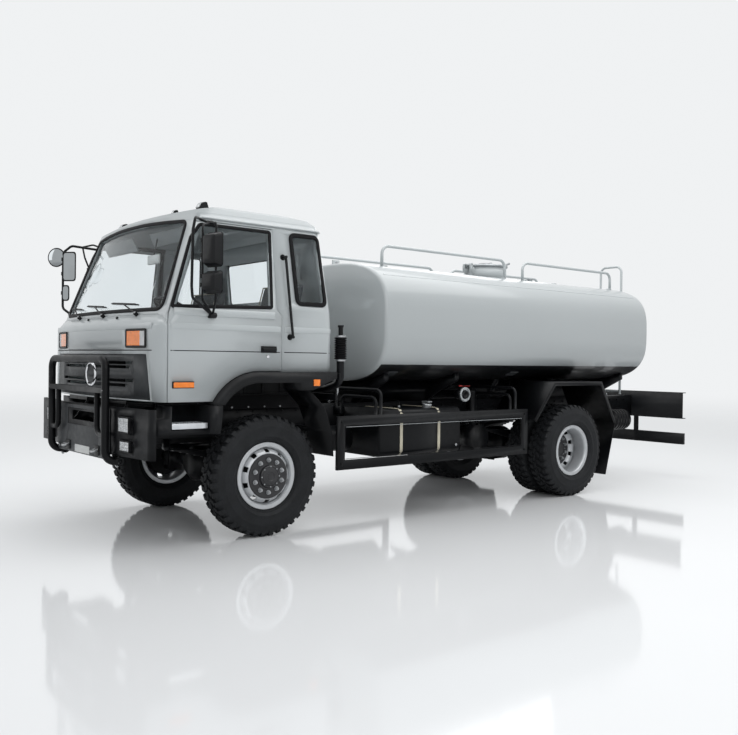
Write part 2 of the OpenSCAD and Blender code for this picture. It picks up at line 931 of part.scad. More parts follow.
module front_axle() {
    tube_r = 60;
    color(black) {
        rod_x(tube_r, -kingpin_x + 105, kingpin_x - 105, 0, axle_z);
        gear_drum(175, -pinion_x, 0);
        rod_y(70, 100, 230, -pinion_x, axle_z);
        both_sides() {
            block([kingpin_x - 135, -70, axle_z - fork_z - fork_t],
                [kingpin_x - 100, 70, axle_z + fork_z + fork_t]);
            for (z = [axle_z - fork_z - fork_t, axle_z + fork_z])
                block([kingpin_x - 110, -45, z], [kingpin_x + 45, 45, z + fork_t]);
            translate([kingpin_x, 0, axle_z - fork_z - fork_t])
                cylinder(r = kingpin_r, h = 2 * (fork_z + fork_t));
            block([spring_x - 55, -70, axle_z - 10], [spring_x + 55, 70, spring_seat]);
        }
    }
}

spindle_r = 40;
hub_face = front_track / 2 + 120;

module knuckle_left() {
    color([0.15, 0.15, 0.16])
        difference() {
            union() {
                translate([kingpin_x, 0, axle_z - fork_z + 6]) cylinder(r = 62, h = 2 * fork_z - 12);
                rod_x(spindle_r, kingpin_x, hub_face - 10, 0, axle_z);
                block([kingpin_x - 30, 30, tie_z - 12], [kingpin_x + 30, arm_l, tie_z + 12]);
                translate([kingpin_x, arm_l, tie_z - 12]) cylinder(r = 30, h = 24);
                translate([kingpin_x, arm_l, tie_z - 60]) cylinder(r = ball_r, h = 50);
            }
            translate([kingpin_x, 0, axle_z - 200]) cylinder(r = kingpin_r + run, h = 400);
        }
}

module tie_rod() {
    color([0.15, 0.15, 0.16])
        difference() {
            union() {
                rod_x(18, -kingpin_x, kingpin_x, arm_l, tie_z - 40);
                for (x = [-kingpin_x, kingpin_x])
                    translate([x, arm_l, tie_z - 60]) cylinder(r = 28, h = 40);
            }
            for (x = [-kingpin_x, kingpin_x])
                translate([x, arm_l, tie_z - 100]) cylinder(r = ball_r + run, h = 200);
        }
}

rear_end_x = rear_track / 2 + 20;
rear_tube_r = 75;

module rear_axle() {
    color(black) {
        rod_x(rear_tube_r, -rear_end_x + 90, rear_end_x - 90, wheelbase, axle_z);
        rod_x(spindle_r, -rear_end_x - 60, rear_end_x + 60, wheelbase, axle_z);
        gear_drum(210, 0, wheelbase);
        rod_y(80, wheelbase - 270, wheelbase - 100, 0, axle_z);
        both_sides()
            block([spring_x - 55, wheelbase - 75, axle_z - 10],
                [spring_x + 55, wheelbase + 75, spring_seat]);
    }
}

spring_x = rail_x - 40;
spring_seat = axle_z + 85;
spring_t = 12;
spring_w = 74;

// A leaf spring round y: stacked leaves, each shorter than the one above
module leaf_spring(y, half, leaves, eye_z) {
    rise = eye_z - spring_seat - leaves * spring_t;
    for (i = [0 : leaves - 1]) {
        l = half * (1 - 0.8 * (leaves - 1 - i) / leaves);
        z = spring_seat + i * spring_t;
        lift = rise * l / half;
        side_plate(spring_x - spring_w / 2, spring_x + spring_w / 2)
            polygon([[y - l, z + lift], [y - 90, z], [y + 90, z], [y + l, z + lift],
                [y + l, z + lift + spring_t], [y + 90, z + spring_t + 0.01],
                [y - 90, z + spring_t + 0.01], [y - l, z + lift + spring_t]]);
    }
    for (s = [-1, 1]) {
        rod_x(24, spring_x - spring_w / 2, spring_x + spring_w / 2, y + s * half, eye_z + 5);
        block([spring_x - 15, y + s * half - 30, eye_z + 10], [spring_x + 15, y + s * half + 30, frame_bot - seat]);
    }
}

module leaf_springs() {
    color(black)
        both_sides() {
            leaf_spring(0, 640, 7, frame_bot - 90);
            leaf_spring(wheelbase, 700, 9, frame_bot - 80);
        }
}

// ---------------------------------------------------------------- engine and driveline

engine_y = [-900, 250];
engine_bot = frame_bot - 60;

module engine() {
    color([0.25, 0.25, 0.26]) {
        block([-300, engine_y[0] + 160, engine_bot], [300, engine_y[1], hump_top - 70]);
        block([-330, engine_y[0], frame_bot + 90], [330, engine_y[0] + 80, hump_top - 60]);
        block([-120, engine_y[0] + 79, frame_bot + 300], [120, engine_y[0] + 161, frame_bot + 420]);
        both_sides()
            block([299, -300, frame_bot + 100], [rail_x - rail_t - seat, -200, frame_bot + 180]);
    }
}

case_y = [1560, 1980];

module driveline() {
    z = frame_bot + 60;
    color([0.25, 0.25, 0.26]) {
        block([-180, engine_y[1] + seat, engine_bot + 40], [180, 480, frame_top - 70]);
        block([-140, 479, engine_bot + 70], [140, 900, frame_top - 100]);
        rod_y(38, 899, case_y[0] + 1, 0, z);
        block([-260, case_y[0], frame_bot - 200], [170, case_y[1], frame_top - 80]);
        strut([-pinion_x, 236, axle_z], [-180, case_y[0] + 5, frame_bot - 110], 34);
        strut([0, case_y[1] - 5, frame_bot - 30], [0, wheelbase - 276, axle_z], 38);
    }
}

// ---------------------------------------------------------------- tanks and boxes on the frame

side_in = rail_x + 50;
fuel_y = 1290;
fuel_z = [frame_bot - 225, frame_bot + 245];
fuel_x = 1110;

// Brackets that carry a box on the rail's outside
module rail_brackets(ys, z1) {
    for (y = ys) {
        block([rail_x + seat, y, z1], [side_in + 1, y + 60, frame_top - 40]);
    }
}

module fuel_tank() {
    r = 60;
    color(black) {
        front_plate(fuel_y, fuel_y + fuel_l)
            offset(r = r, $fn = 32) offset(delta = -r)
                polygon([[side_in, fuel_z[0]], [fuel_x, fuel_z[0]], [fuel_x, fuel_z[1]],
                    [side_in, fuel_z[1]]]);
        rail_brackets([fuel_y + 180, fuel_y + fuel_l - 240], fuel_z[0] + 100);
        translate([side_in + 300, fuel_y + fuel_l - 200, fuel_z[1] - 5]) cylinder(r = 55, h = 40);
    }
}

// Ribbed reservoir beside the left rail, ahead of the tail beam
tail_r = 135;
tail_x = rail_x + tail_r + 25;
tail_tank_y = tail_y - 860;
tail_z = frame_bot - 40;

module air_tanks() {
    r = 130;
    y1 = fuel_y - 480;
    z = frame_bot - 60;
    x = side_in + r + 10;
    color(black)
        both_sides() {
            rod_y(r, y1, fuel_y - 60, x, z);
            block([rail_x + seat, y1 + 150, z - 30], [x, y1 + 210, frame_bot + 120]);
        }
    color(black) {
        rod_y(tail_r, tail_tank_y, tail_tank_y + 340, tail_x, tail_z);
        for (y = [tail_tank_y + 15 : 62 : tail_tank_y + 270])
            rod_y(tail_r + 8, y, y + 36, tail_x, tail_z);
        block([rail_x + seat, tail_tank_y + 130, tail_z], [tail_x, tail_tank_y + 190, frame_bot + 90]);
    }
}

module battery_box() {
    color(black) {
        block([-1100, fuel_y, fuel_z[0] + 60], [-side_in, fuel_y + 620, fuel_z[1] - 40]);
        mirror([1, 0, 0]) rail_brackets([fuel_y + 80, fuel_y + 480], fuel_z[0] + 120);
    }
}

module muffler() {
    r = 150;
    y1 = fuel_y + 700;
    x = -side_in - r - 60;
    z = frame_bot - 40;
    color([0.3, 0.3, 0.31]) {
        rod_y(r, y1, y1 + 700, x, z);
        rod_y(40, y1 + 699, y1 + 860, x, z);
        block([x, y1 + 300, z - 30], [-rail_x - seat, y1 + 360, frame_bot + 120]);
    }
}

// ---------------------------------------------------------------- water tank

tank_steps = 72;

// Point of the tank's section at angle a; the exponent squares its shoulders
function oval(a, half_w, half_h) =
    let (n = 2 / 3.3, c = cos(a), s = sin(a))
    [half_w * sign(c) * pow(abs(c), n), half_h * sign(s) * pow(abs(s), n)];

module tank_section(t) {
    translate([0, tank_mid])
        polygon([for (i = [0 : tank_steps - 1])
            oval(i * 360 / tank_steps, tank_w / 2 - t, tank_h / 2 - t)]);
}

knuckle = 45;
neck_y = tank_y + tank_l * 0.583;
neck_top = tank_top + 170;
neck_wall = 12;

// The tank's closed form: a barrel, and ends that turn in on a knuckle and
// then swell to the full dish
module tank_form() {
    hull() {
        for (a = [0 : 18 : 90]) {
            out = knuckle * sin(a);
            front_plate(tank_y - out, tank_end + out) tank_section(knuckle * (1 - cos(a)));
        }
        for (q = [0.35, 0.7, 1]) {
            out = knuckle + (dish - knuckle) * (1 - pow(1 - q, 2));
            front_plate(tank_y - out, tank_end + out) tank_section(knuckle + tank_h / 2 * 0.8 * q);
        }
    }
}

module water_tank() {
    color(silver)
        difference() {
            tank_form();
            translate([0, neck_y, tank_top - 260]) cylinder(r = manhole_d / 2 - neck_wall, h = 400);
        }
}

// Collar of the manhole, with the lugs of the lid's hinge
module manhole_neck() {
    color(silver) {
        difference() {
            translate([0, neck_y, tank_top + seat]) cylinder(r = manhole_d / 2, h = neck_top - tank_top - seat);
            translate([0, neck_y, tank_top - 10]) cylinder(r = manhole_d / 2 - neck_wall, h = 300);
        }
        lid_hinge_lug();
    }
}

outlet_y = tank_y + 1240;
outlet_z = frame_top + 90;
outlet_x = 1000;
outlet_r = 26;
collar_r = 46;
valve_x = outlet_x - 85;
stem_z = outlet_z + 84;

hinge_y = neck_y - manhole_d / 2 - 40;
hinge_z = neck_top + 20;
lid_pin_r = 10;
lug_r = 20;

module lid_hinge_lug() {
    for (x = [-70, 45])
        difference() {
            side_plate(x, x + 25)
                union() {
                    translate([hinge_y, hinge_z]) circle(r = lug_r, $fn = 48);
                    polygon([[hinge_y - lug_r - 4, neck_top - 60], [neck_y - manhole_d / 2 + 14, neck_top - 100],
                        [neck_y - manhole_d / 2 + 14, neck_top - 20], [hinge_y + lug_r, neck_top - 5],
                        [hinge_y + lug_r, hinge_z], [hinge_y - lug_r, hinge_z]]);
                }
            rod_x(lid_pin_r, x - 1, x + 26, hinge_y, hinge_z);
        }
}

module manhole_lid() {
    color([0.78, 0.8, 0.8]) {
        translate([0, neck_y, neck_top + seat]) cylinder(r = manhole_d / 2 + 15, h = 25);
        block([-40, hinge_y - 15, hinge_z - 12], [40, neck_y - manhole_d / 2 + 10, hinge_z + 12]);
        rod_x(lid_pin_r - run, -75, 75, hinge_y, hinge_z);
        translate([0, neck_y, neck_top + 20]) cylinder(r = 60, h = 40);
        strut([0, neck_y + manhole_d / 2 - 30, neck_top + 22],
            [0, neck_y + manhole_d / 2 + 190, neck_top + 95], 14);
    }
}

cradle_t = 60;
cradle_y = [tank_y + 150, tank_end - 150];

// Where a cross plate meant for y stands, moved back if a guard hanger is there
function cradle_place(y) =
    let (near = [for (h = hanger_y) if (abs(y + cradle_t / 2 - h) < cradle_t / 2 + 40) h])
    len(near) > 0 ? near[0] + 40 : y;

// Cross plate at y that spreads out under the tank, or stops short of the
// mudguards
module cradle_plate(y) {
    by_wheel = y > wheelbase - 850 && y < wheelbase + 850;
    half = by_wheel ? mud_in - 20 : 900;
    foot = rail_x;
    front_plate(y, y + cradle_t)
        polygon([[-half, tank_bot + 110], [-half, tank_bot + 20], [-foot, frame_top + seat],
            [foot, frame_top + seat], [half, tank_bot + 20], [half, tank_bot + 110]]);
}

module tank_cradle() {
    color(black)
        difference() {
            union() {
                both_sides()
                    block([rail_x - 75, cradle_y[0], frame_top + seat],
                        [rail_x - 5, cradle_y[1], tank_bot + 120]);
                for (i = [0 : 4])
                    cradle_plate(cradle_place(cradle_y[0] + i * (cradle_y[1] - cradle_y[0] - cradle_t) / 4));
            }
            front_plate(cradle_y[0] - 100, cradle_y[1] + 100) tank_section(-seat);
            translate([300, outlet_y, outlet_z - 200]) cylinder(r = 90, h = 500);
            rod_x(60, 300, 1200, outlet_y, outlet_z);
            rod_y(50, outlet_y, pump_y + 100, 620, outlet_z);
        }
}

top_rail_x = 620;
top_rail_h = 190;
top_bend = 90;

// Height of the tank's top at x
function tank_z(x) = tank_mid + tank_h / 2 * pow(1 - pow(x / (tank_w / 2), 3.3), 1 / 3.3);

// A hand rail: two posts with rounded corners and a straight bar
module hoop_y(y1, y2, x, z1, z2, r, bend_r) {
    rod_y(r, y1 + bend_r, y2 - bend_r, x, z2);
    translate([x, y1, z1]) cylinder(r = r, h = z2 - bend_r - z1);
    translate([x, y2, z1]) cylinder(r = r, h = z2 - bend_r - z1);
    translate([x, y1 + bend_r, z2 - bend_r]) rotate([0, -90, 0]) rotate([0, 0, -90])
        rotate_extrude(angle = 90) translate([bend_r, 0]) circle(r = r);
    translate([x, y2 - bend_r, z2 - bend_r]) rotate([0, -90, 0])
        rotate_extrude(angle = 90) translate([bend_r, 0]) circle(r = r);
}

module top_rails() {
    z1 = ceil(tank_z(top_rail_x - rail_tube / 2));
    z2 = tank_top + top_rail_h;
    front = [tank_y + 340, neck_y - 325];
    back = [neck_y, tank_end - 60];
    color(silver)
        both_sides()
            for (ends = [front, back])
                hoop_y(ends[0], ends[1], top_rail_x, z1, z2, rail_tube / 2, top_bend);
}

ladder_x = [320, 650];
ladder_y = tank_end + dish + 60;
ladder_r = 16;
ladder_rungs = 6;

// Ladder up the tank's back; its two rails meet in a hoop above the tank
module rear_ladder() {
    z_low = frame_top + 30;
    z_top = tank_top + 300;
    turn = 80;
    step = 250;
    color(silver) {
        for (x = ladder_x) {
            translate([x, ladder_y, z_low]) cylinder(r = ladder_r, h = z_top - turn - z_low);
            rod_y(12, tank_end + dish + seat, ladder_y, x, tank_mid);
        }
        block([ladder_x[0] - ladder_r, ladder_y - 25, frame_top + seat],
            [rail_x, ladder_y + 25, z_low + 8]);
        bend_xz(ladder_r, turn, ladder_x[1] - turn, ladder_y, z_top - turn, 0, 90);
        bend_xz(ladder_r, turn, ladder_x[0] + turn, ladder_y, z_top - turn, 90, 180);
        rod_x(ladder_r, ladder_x[0] + turn, ladder_x[1] - turn, ladder_y, z_top);
        for (i = [0 : ladder_rungs - 1])
            rod_x(12, ladder_x[0], ladder_x[1], ladder_y, z_low + 40 + i * step);
    }
}

// ---------------------------------------------------------------- water pipes

pump_y = outlet_y + 500;
pump_z = frame_bot - 150;

// Outlet with its valve on the tank's side, and the pump it can feed from
module water_pipes() {
    z = outlet_z;
    color([0.45, 0.46, 0.47])
        difference() {
            union() {
                rod_x(38, 300, outlet_x - 10, outlet_y, z);
                translate([300, outlet_y, z - 60]) cylinder(r = 70, h = tank_bot - seat - z + 60);
                rod_x(collar_r, outlet_x - 24, outlet_x, outlet_y, z);
                rod_x(56, valve_x - 42, valve_x + 42, outlet_y, z);
                translate([valve_x, outlet_y, z]) cylinder(r = 24, h = 68);
                translate([valve_x, outlet_y, z]) cylinder(r = 9, h = stem_z - z);
                rod_y(40, outlet_y, pump_y, 620, z - 4);
                translate([620, pump_y, pump_z]) cylinder(r = 42, h = z + 40 - pump_z);
                rod_x(150, 560, 740, pump_y, pump_z);
                block([540, pump_y - 110, pump_z - 190], [760, pump_y + 110, pump_z - 100]);
                block([rail_x + seat, pump_y - 60, frame_bot + 30], [600, pump_y + 60, frame_bot + 90]);
            }
            rod_x(outlet_r, outlet_x - 60, outlet_x + 20, outlet_y, z);
        }
}

// Lever that stands on the valve's stem
module valve_lever() {
    color("red")
        difference() {
            union() {
                translate([valve_x, outlet_y, stem_z + seat]) cylinder(r = 17, h = 14);
                block([valve_x - 11, outlet_y - 25, stem_z + seat + 2],
                    [valve_x + 11, outlet_y + 140, stem_z + seat + 9]);
            }
            translate([valve_x, outlet_y, stem_z - 1]) cylinder(r = 5, h = 30);
        }
}

// ---------------------------------------------------------------- side guards and mudguards

guard_z = [frame_bot - 300, frame_bot + 203];
side_guard_y = [690, wheelbase - 820];
side_guard_x = cab_w / 2;
guard_t = 30;
bar = 90;

hanger_r = 17;
hanger_bend = 70;
hanger_z = frame_bot + 440;
hanger_y = [fuel_y - 45, side_guard_y[1] - 170];

// A tube that bends out from the frame and down to a side guard at y; inset
// nests one inside another
module hanger_tube(y, inset) {
    x1 = rail_x + 30 + inset;
    x2 = side_guard_x - 40 - inset;
    z = hanger_z - inset;
    low = guard_z[1] - 40;
    translate([x1, y, frame_top - 60]) cylinder(r = hanger_r, h = z - hanger_bend - frame_top + 60);
    bend_xz(hanger_r, hanger_bend, x1 + hanger_bend, y, z - hanger_bend, 90, 180);
    rod_x(hanger_r, x1 + hanger_bend, x2 - hanger_bend, y, z);
    bend_xz(hanger_r, hanger_bend, x2 - hanger_bend, y, z - hanger_bend, 0, 90);
    translate([x2, y, low]) cylinder(r = hanger_r, h = z - hanger_bend - low);
}

// Pair of nested tubes that carry a side guard from the frame at y
module guard_hanger(y) {
    nest = 75;
    hanger_tube(y, 0);
    hanger_tube(y, nest);
    block([rail_x + seat, y - 30, frame_top - 110], [rail_x + 40 + nest, y + 30, frame_top - 30]);
    block([side_guard_x - 57 - nest, y - 20, guard_z[1] - 60],
        [side_guard_x - guard_t + 1, y + 20, guard_z[1] - 10]);
}

module side_guards() {
    color(black)
        both_sides() {
            side_plate(side_guard_x - guard_t, side_guard_x)
                difference() {
                    polygon([[side_guard_y[0], guard_z[0]], [side_guard_y[1], guard_z[0]],
                        [side_guard_y[1], guard_z[1]], [side_guard_y[0], guard_z[1]]]);
                    translate([side_guard_y[0] + bar, guard_z[0] + bar])
                        square([side_guard_y[1] - side_guard_y[0] - 2 * bar, guard_z[1] - guard_z[0] - 2 * bar]);
                }
            for (y = hanger_y)
                guard_hanger(y);
        }
}

mud_top = axle_z + tyre_d / 2 + 275;
mud_in = rear_track / 2 - dual_spacing / 2 - tyre_w / 2 - 20;

// Folded mudguard over a pair of rear tyres; t is its sheet thickness
module rear_mudguards() {
    t = 6;
    lip = 45;
    out = body_w / 2 - 10;
    path = [[-750, mud_top - 425], [-400, mud_top], [510, mud_top], [800, mud_top - 495], [610, axle_z - 330]];
    color(black)
        both_sides()
            translate([0, wheelbase, 0]) {
                for (i = [0 : 3])
                    side_plate(mud_in, out) sheet_line(path[i], path[i + 1], t);
                for (i = [0 : 2])
                    side_plate(out - t, out) sheet_line(path[i], path[i + 1], lip);
                for (y = [-300, 250])
                    block([rail_x - 5 + seat, y, mud_top - 50], [out - 100, y + 40, mud_top - t + 1]);
            }
}

// A straight strip of sheet from a to b, w wide, on its inner side
module sheet_line(a, b, w) {
    d = b - a;
    l = norm(d);
    n = [d[1], -d[0]] / l * w;
    polygon([a, b, b + n, a + n]);
}

beam_t = 10;
beam_z = [frame_bot - 15, frame_top + 63];
beam_flange = 80;
bar_z = [frame_bot - 365, frame_bot - 215];
hanger_x = 470;

// Channel across the tail, and the underrun bar that hangs from it
module tail_beam() {
    half = body_w / 2 - 20;
    web_y = tail_y - beam_flange;
    color(black) {
        side_plate(-half, half)
            polygon([[web_y, beam_z[0]], [tail_y, beam_z[0]], [tail_y, beam_z[0] + beam_t],
                [web_y + beam_t, beam_z[0] + beam_t], [web_y + beam_t, beam_z[1] - beam_t],
                [tail_y, beam_z[1] - beam_t], [tail_y, beam_z[1]], [web_y, beam_z[1]]]);
        block([-half, web_y + 20, bar_z[0]], [half, tail_y - 10, bar_z[1]]);
        both_sides()
            block([hanger_x, web_y + 8, bar_z[0]], [hanger_x + 70, web_y + 22, beam_z[0] + 60]);
    }
}

// Rear lamp cluster, on the tail beam
module tail_lamp() {
    block([850, tail_y - beam_flange + beam_t + seat, beam_z[0] + 110], [1150, tail_y - 15, beam_z[0] + 230]);
}

// ---------------------------------------------------------------- wheels

rim_w = 216;
rim_t = 9;
flange_h = 42;
bead_r = bead_d / 2;
disc_t = 14;
disc_in = 128;

// Tyre, with its axle along Z
module tyre_ring() {
    r = tyre_d / 2;
    w = tyre_w / 2;
    rotate_extrude($fn = 96)
        polygon([[bead_r + seat, -rim_w / 2 + 12], [bead_r + flange_h + 8, -rim_w / 2 + 10],
            [bead_r + 90, -w + 4], [r - 130, -w], [r - 70, -w + 8], [r - 25, -w + 24], [r - 4, -w + 34],
            [r, -w + 60], [r, w - 60],
            [r - 4, w - 34], [r - 25, w - 24], [r - 70, w - 8], [r - 130, w], [bead_r + 90, w - 4],
            [bead_r + flange_h + 8, rim_w / 2 - 10], [bead_r + seat, rim_w / 2 - 12]]);
}

// Rim and its disc, which bulges to disc_in along +Z
module rim_ring() {
    hw = rim_w / 2;
    rotate_extrude($fn = 96)
        polygon([[bead_r - rim_t, -hw], [bead_r + flange_h, -hw], [bead_r + flange_h, -hw + rim_t],
            [bead_r, -hw + rim_t + 2], [bead_r, hw - rim_t - 2], [bead_r + flange_h, hw - rim_t],
            [bead_r + flange_h, hw], [bead_r - rim_t, hw]]);
    difference() {
        rotate_extrude($fn = 96)
            polygon([[60, disc_in - disc_t], [175, disc_in - disc_t], [bead_r - rim_t + 1, disc_in - 75],
                [bead_r - rim_t + 1, disc_in - 55], [182, disc_in], [60, disc_in]]);
        for (i = [0 : 9])
            rotate([0, 0, i * 36]) translate([205, 0, 0]) cylinder(r = 15, h = 300, $fn = 24);
    }
}

// Turns what lies along Z to lie along +X
module along_x() {
    rotate([0, 90, 0]) children();
}

module tyre_front_left() {
    color(black) translate([front_track / 2, 0, axle_z]) along_x() tyre_ring();
}

module wheel_front_left() {
    color([0.75, 0.76, 0.78])
        difference() {
            union() {
                translate([front_track / 2, 0, axle_z]) along_x() rim_ring();
                rod_x(120, kingpin_x + 95, hub_face + 8, 0, axle_z);
                rod_x(95, hub_face, hub_face + 55, 0, axle_z);
                rod_x(200, kingpin_x + 95, kingpin_x + 215, 0, axle_z);
            }
            rod_x(spindle_r + run, 0, hub_face - 9, 0, axle_z);
        }
}

// The two wheels of a rear pair, with their discs face to face
module rear_pair() {
    for (s = [-1, 1])
        translate([rear_track / 2 + s * dual_spacing / 2, wheelbase, axle_z])
            along_x() mirror([0, 0, (1 + s) / 2]) children();
}

module tyres_rear_left() {
    color(black) rear_pair() tyre_ring();
}

module wheels_rear_left() {
    mid = rear_track / 2;
    color([0.75, 0.76, 0.78])
        difference() {
            union() {
                rear_pair() rim_ring();
                rod_x(120, mid - 60, mid + 70, wheelbase, axle_z);
                rod_x(90, mid + 60, mid + 200, wheelbase, axle_z);
                rod_x(200, mid - 240, mid - 60, wheelbase, axle_z);
            }
            rod_x(spindle_r + run, 0, rear_end_x + 61, wheelbase, axle_z);
            rod_x(rear_tube_r + 7, 0, rear_end_x - 80, wheelbase, axle_z);
        }
}

// ---------------------------------------------------------------- nodes

at_axle() chassis_frame();
at_axle() front_bumper();
at_axle() road_lamps();
at_axle() front_axle();
at_axle() rear_axle();
at_axle() leaf_springs();
at_axle() engine();
at_axle() driveline();
at_axle() fuel_tank();
at_axle() air_tanks();
at_axle() battery_box();
at_axle() muffler();
at_axle() cab_steps();
at_axle() water_tank();
at_axle() manhole_neck();
at_axle() tank_cradle();
at_axle() top_rails();
at_axle() rear_ladder();
at_axle() water_pipes();
at_axle() valve_lever();
at_axle() side_guards();
at_axle() rear_mudguards();
at_axle() tail_beam();
at_axle() manhole_lid();
at_axle() brush_guard();
at_axle() cab_subframe();
at_axle() door_seals();
at_axle() cab_shell();
at_axle() cab_front_panel();
at_axle() cab_roof();
at_axle() cab_grille();
at_axle() cab_glass();
at_axle() cab_fenders();
at_axle() cab_lamps();
at_axle() dashboard();
at_axle() steering_wheel();
at_axle() seats();
at_axle() door_left();
at_axle() door_glass_left();
at_axle() mirrors_left();
at_axle() mirror([1, 0, 0]) door_left();  // door_right
at_axle() mirror([1, 0, 0]) door_glass_left();  // door_glass_right
at_axle() mirror([1, 0, 0]) mirrors_right();
at_axle() knuckle_left();
at_axle() mirror([1, 0, 0]) knuckle_left();  // knuckle_right
at_axle() tie_rod();
at_axle() tyre_front_left();
at_axle() wheel_front_left();
at_axle() mirror([1, 0, 0]) tyre_front_left();  // tyre_front_right
at_axle() mirror([1, 0, 0]) wheel_front_left();  // wheel_front_right
at_axle() tyres_rear_left();
at_axle() wheels_rear_left();
at_axle() mirror([1, 0, 0]) tyres_rear_left();  // tyres_rear_right
at_axle() mirror([1, 0, 0]) wheels_rear_left();  // wheels_rear_right
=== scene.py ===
"""Looks for the water tanker truck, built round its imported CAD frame. Metres; the truck faces -Y."""
import json
import math

import bmesh
import bpy
from mathutils import Matrix, Vector
from mathutils.bvhtree import BVHTree


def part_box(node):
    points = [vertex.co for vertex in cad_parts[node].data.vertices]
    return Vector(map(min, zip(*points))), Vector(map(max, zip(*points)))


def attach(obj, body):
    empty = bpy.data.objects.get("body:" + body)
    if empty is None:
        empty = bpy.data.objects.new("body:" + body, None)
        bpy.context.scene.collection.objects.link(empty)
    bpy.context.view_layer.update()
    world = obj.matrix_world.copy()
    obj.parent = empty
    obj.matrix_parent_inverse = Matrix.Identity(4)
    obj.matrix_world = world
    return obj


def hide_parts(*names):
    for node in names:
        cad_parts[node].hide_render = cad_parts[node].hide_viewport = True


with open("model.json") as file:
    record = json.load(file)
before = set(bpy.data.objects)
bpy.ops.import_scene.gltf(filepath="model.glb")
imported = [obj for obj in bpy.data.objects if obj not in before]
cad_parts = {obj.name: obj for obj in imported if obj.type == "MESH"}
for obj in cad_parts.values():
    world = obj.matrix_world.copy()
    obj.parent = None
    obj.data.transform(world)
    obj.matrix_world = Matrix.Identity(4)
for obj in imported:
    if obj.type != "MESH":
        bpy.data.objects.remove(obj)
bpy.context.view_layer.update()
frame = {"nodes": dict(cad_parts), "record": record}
NODES = frame["nodes"]
JOINTS = {j["name"]: Vector(j["pos_m"]) for j in frame["record"]["behaviour"]["joints"]}
FRONT_WHEEL = JOINTS["front_left_spin"]
REAR_WHEEL = JOINTS["rear_left_spin"]
AXLE_Y = FRONT_WHEEL.y


def P(x, y, z):
    """A point whose y is measured from the front axle."""
    return Vector((x, y + AXLE_Y, z))


def V(*parts):
    return Vector(parts)


# ------------------------------------------------------------------ camera
YAW, PITCH, ROLL = (math.radians(a) for a in (50.64, -0.48, 0.71))
cam = bpy.data.objects.new("camera", bpy.data.cameras.new("camera"))
bpy.context.scene.collection.objects.link(cam)
bpy.context.scene.camera = cam
cam.data.lens, cam.data.sensor_width = 41.9, 36
look = V(-math.sin(YAW) * math.cos(PITCH), math.cos(YAW) * math.cos(PITCH), math.sin(PITCH))
level = V(math.cos(YAW), math.sin(YAW), 0)
up = level.cross(look)
right = math.cos(ROLL) * level + math.sin(ROLL) * up
up = -math.sin(ROLL) * level + math.cos(ROLL) * up
turn = Matrix((right, up, -look)).transposed().to_4x4()
cam.matrix_world = Matrix.Translation(P(7.546, -4.148, 1.579)) @ turn

# ------------------------------------------------------------------ materials


def node(tree, kind, operation=None, **inputs):
    """A new shader node with values for its inputs; _ stands for a space."""
    n = tree.nodes.new("ShaderNode" + kind)
    if operation:
        n.operation = operation
    set_inputs(n, inputs)
    return n


def set_inputs(n, values):
    for key, value in values.items():
        n.inputs[key.replace("_", " ")].default_value = value


def material(name, color, rough=0.5, metal=0.0, **extra):
    """A Principled material; returns the material, its node tree and its shader."""
    m = bpy.data.materials.new(name)
    m.use_nodes = True
    shader = m.node_tree.nodes["Principled BSDF"]
    set_inputs(shader, dict(Base_Color=(*color, 1), Roughness=rough, Metallic=metal, **extra))
    return m, m.node_tree, shader


def object_place(tree):
    return node(tree, "TexCoord").outputs["Object"]


def noise(tree, scale, detail=4.0):
    """The value of an object-space noise."""
    tex = node(tree, "TexNoise", Scale=scale, Detail=detail)
    tree.links.new(object_place(tree), tex.inputs["Vector"])
    return tex.outputs["Fac"]


def ramp(tree, source, low, high, target):
    """Spreads a noise value between two grey levels or colours, into a shader's input."""
    r = node(tree, "ValToRGB")
    for stop, place, tone in zip(r.color_ramp.elements, (0.35, 0.65), (low, high)):
        stop.position = place
        stop.color = (tone, tone, tone, 1) if isinstance(tone, (int, float)) else (*tone, 1)
    tree.links.new(source, r.inputs["Fac"])
    tree.links.new(r.outputs["Color"], target)


def bump(tree, source, strength, distance):
    b = node(tree, "Bump", Strength=strength, Distance=distance)
    tree.links.new(source, b.inputs["Height"])
    tree.links.new(b.outputs["Normal"], tree.nodes["Principled BSDF"].inputs["Normal"])


def ribs(tree, axis, scale):
    """The value of a wave texture along an axis."""
    w = node(tree, "TexWave", Scale=scale)
    w.bands_direction = axis
    tree.links.new(object_place(tree), w.inputs["Vector"])
    return w.outputs["Fac"]


def maths(tree, operation, a, b):
    """A Math node's value; b is a socket or a number."""
    n = node(tree, "Math", operation)
    tree.links.new(a, n.inputs[0])
    if isinstance(b, (int, float)):
        n.inputs[1].default_value = b
    else:
        tree.links.new(b, n.inputs[1])
    return n.outputs["Value"]


def shade(color, k):
    return tuple(min(1.0, c * k) for c in color)


def finish_of(name, color, rough, metal=0.0, spread=0.06, patch=2.0, grain=180.0, depth=0.0004,
              strength=0.12, rough_spread=0.05, **extra):
    """A surface with soft colour patches, uneven gloss and a fine grain."""
    m, tree, shader = material(name, color, rough, metal, **extra)
    ramp(tree, noise(tree, patch, 6), shade(color, 1 - spread), shade(color, 1 + spread),
         shader.inputs["Base Color"])
    ramp(tree, noise(tree, patch * 9, 5), max(0.02, rough - rough_spread), rough + rough_spread,
         shader.inputs["Roughness"])
    bump(tree, noise(tree, grain, 3), strength, depth)
    return m


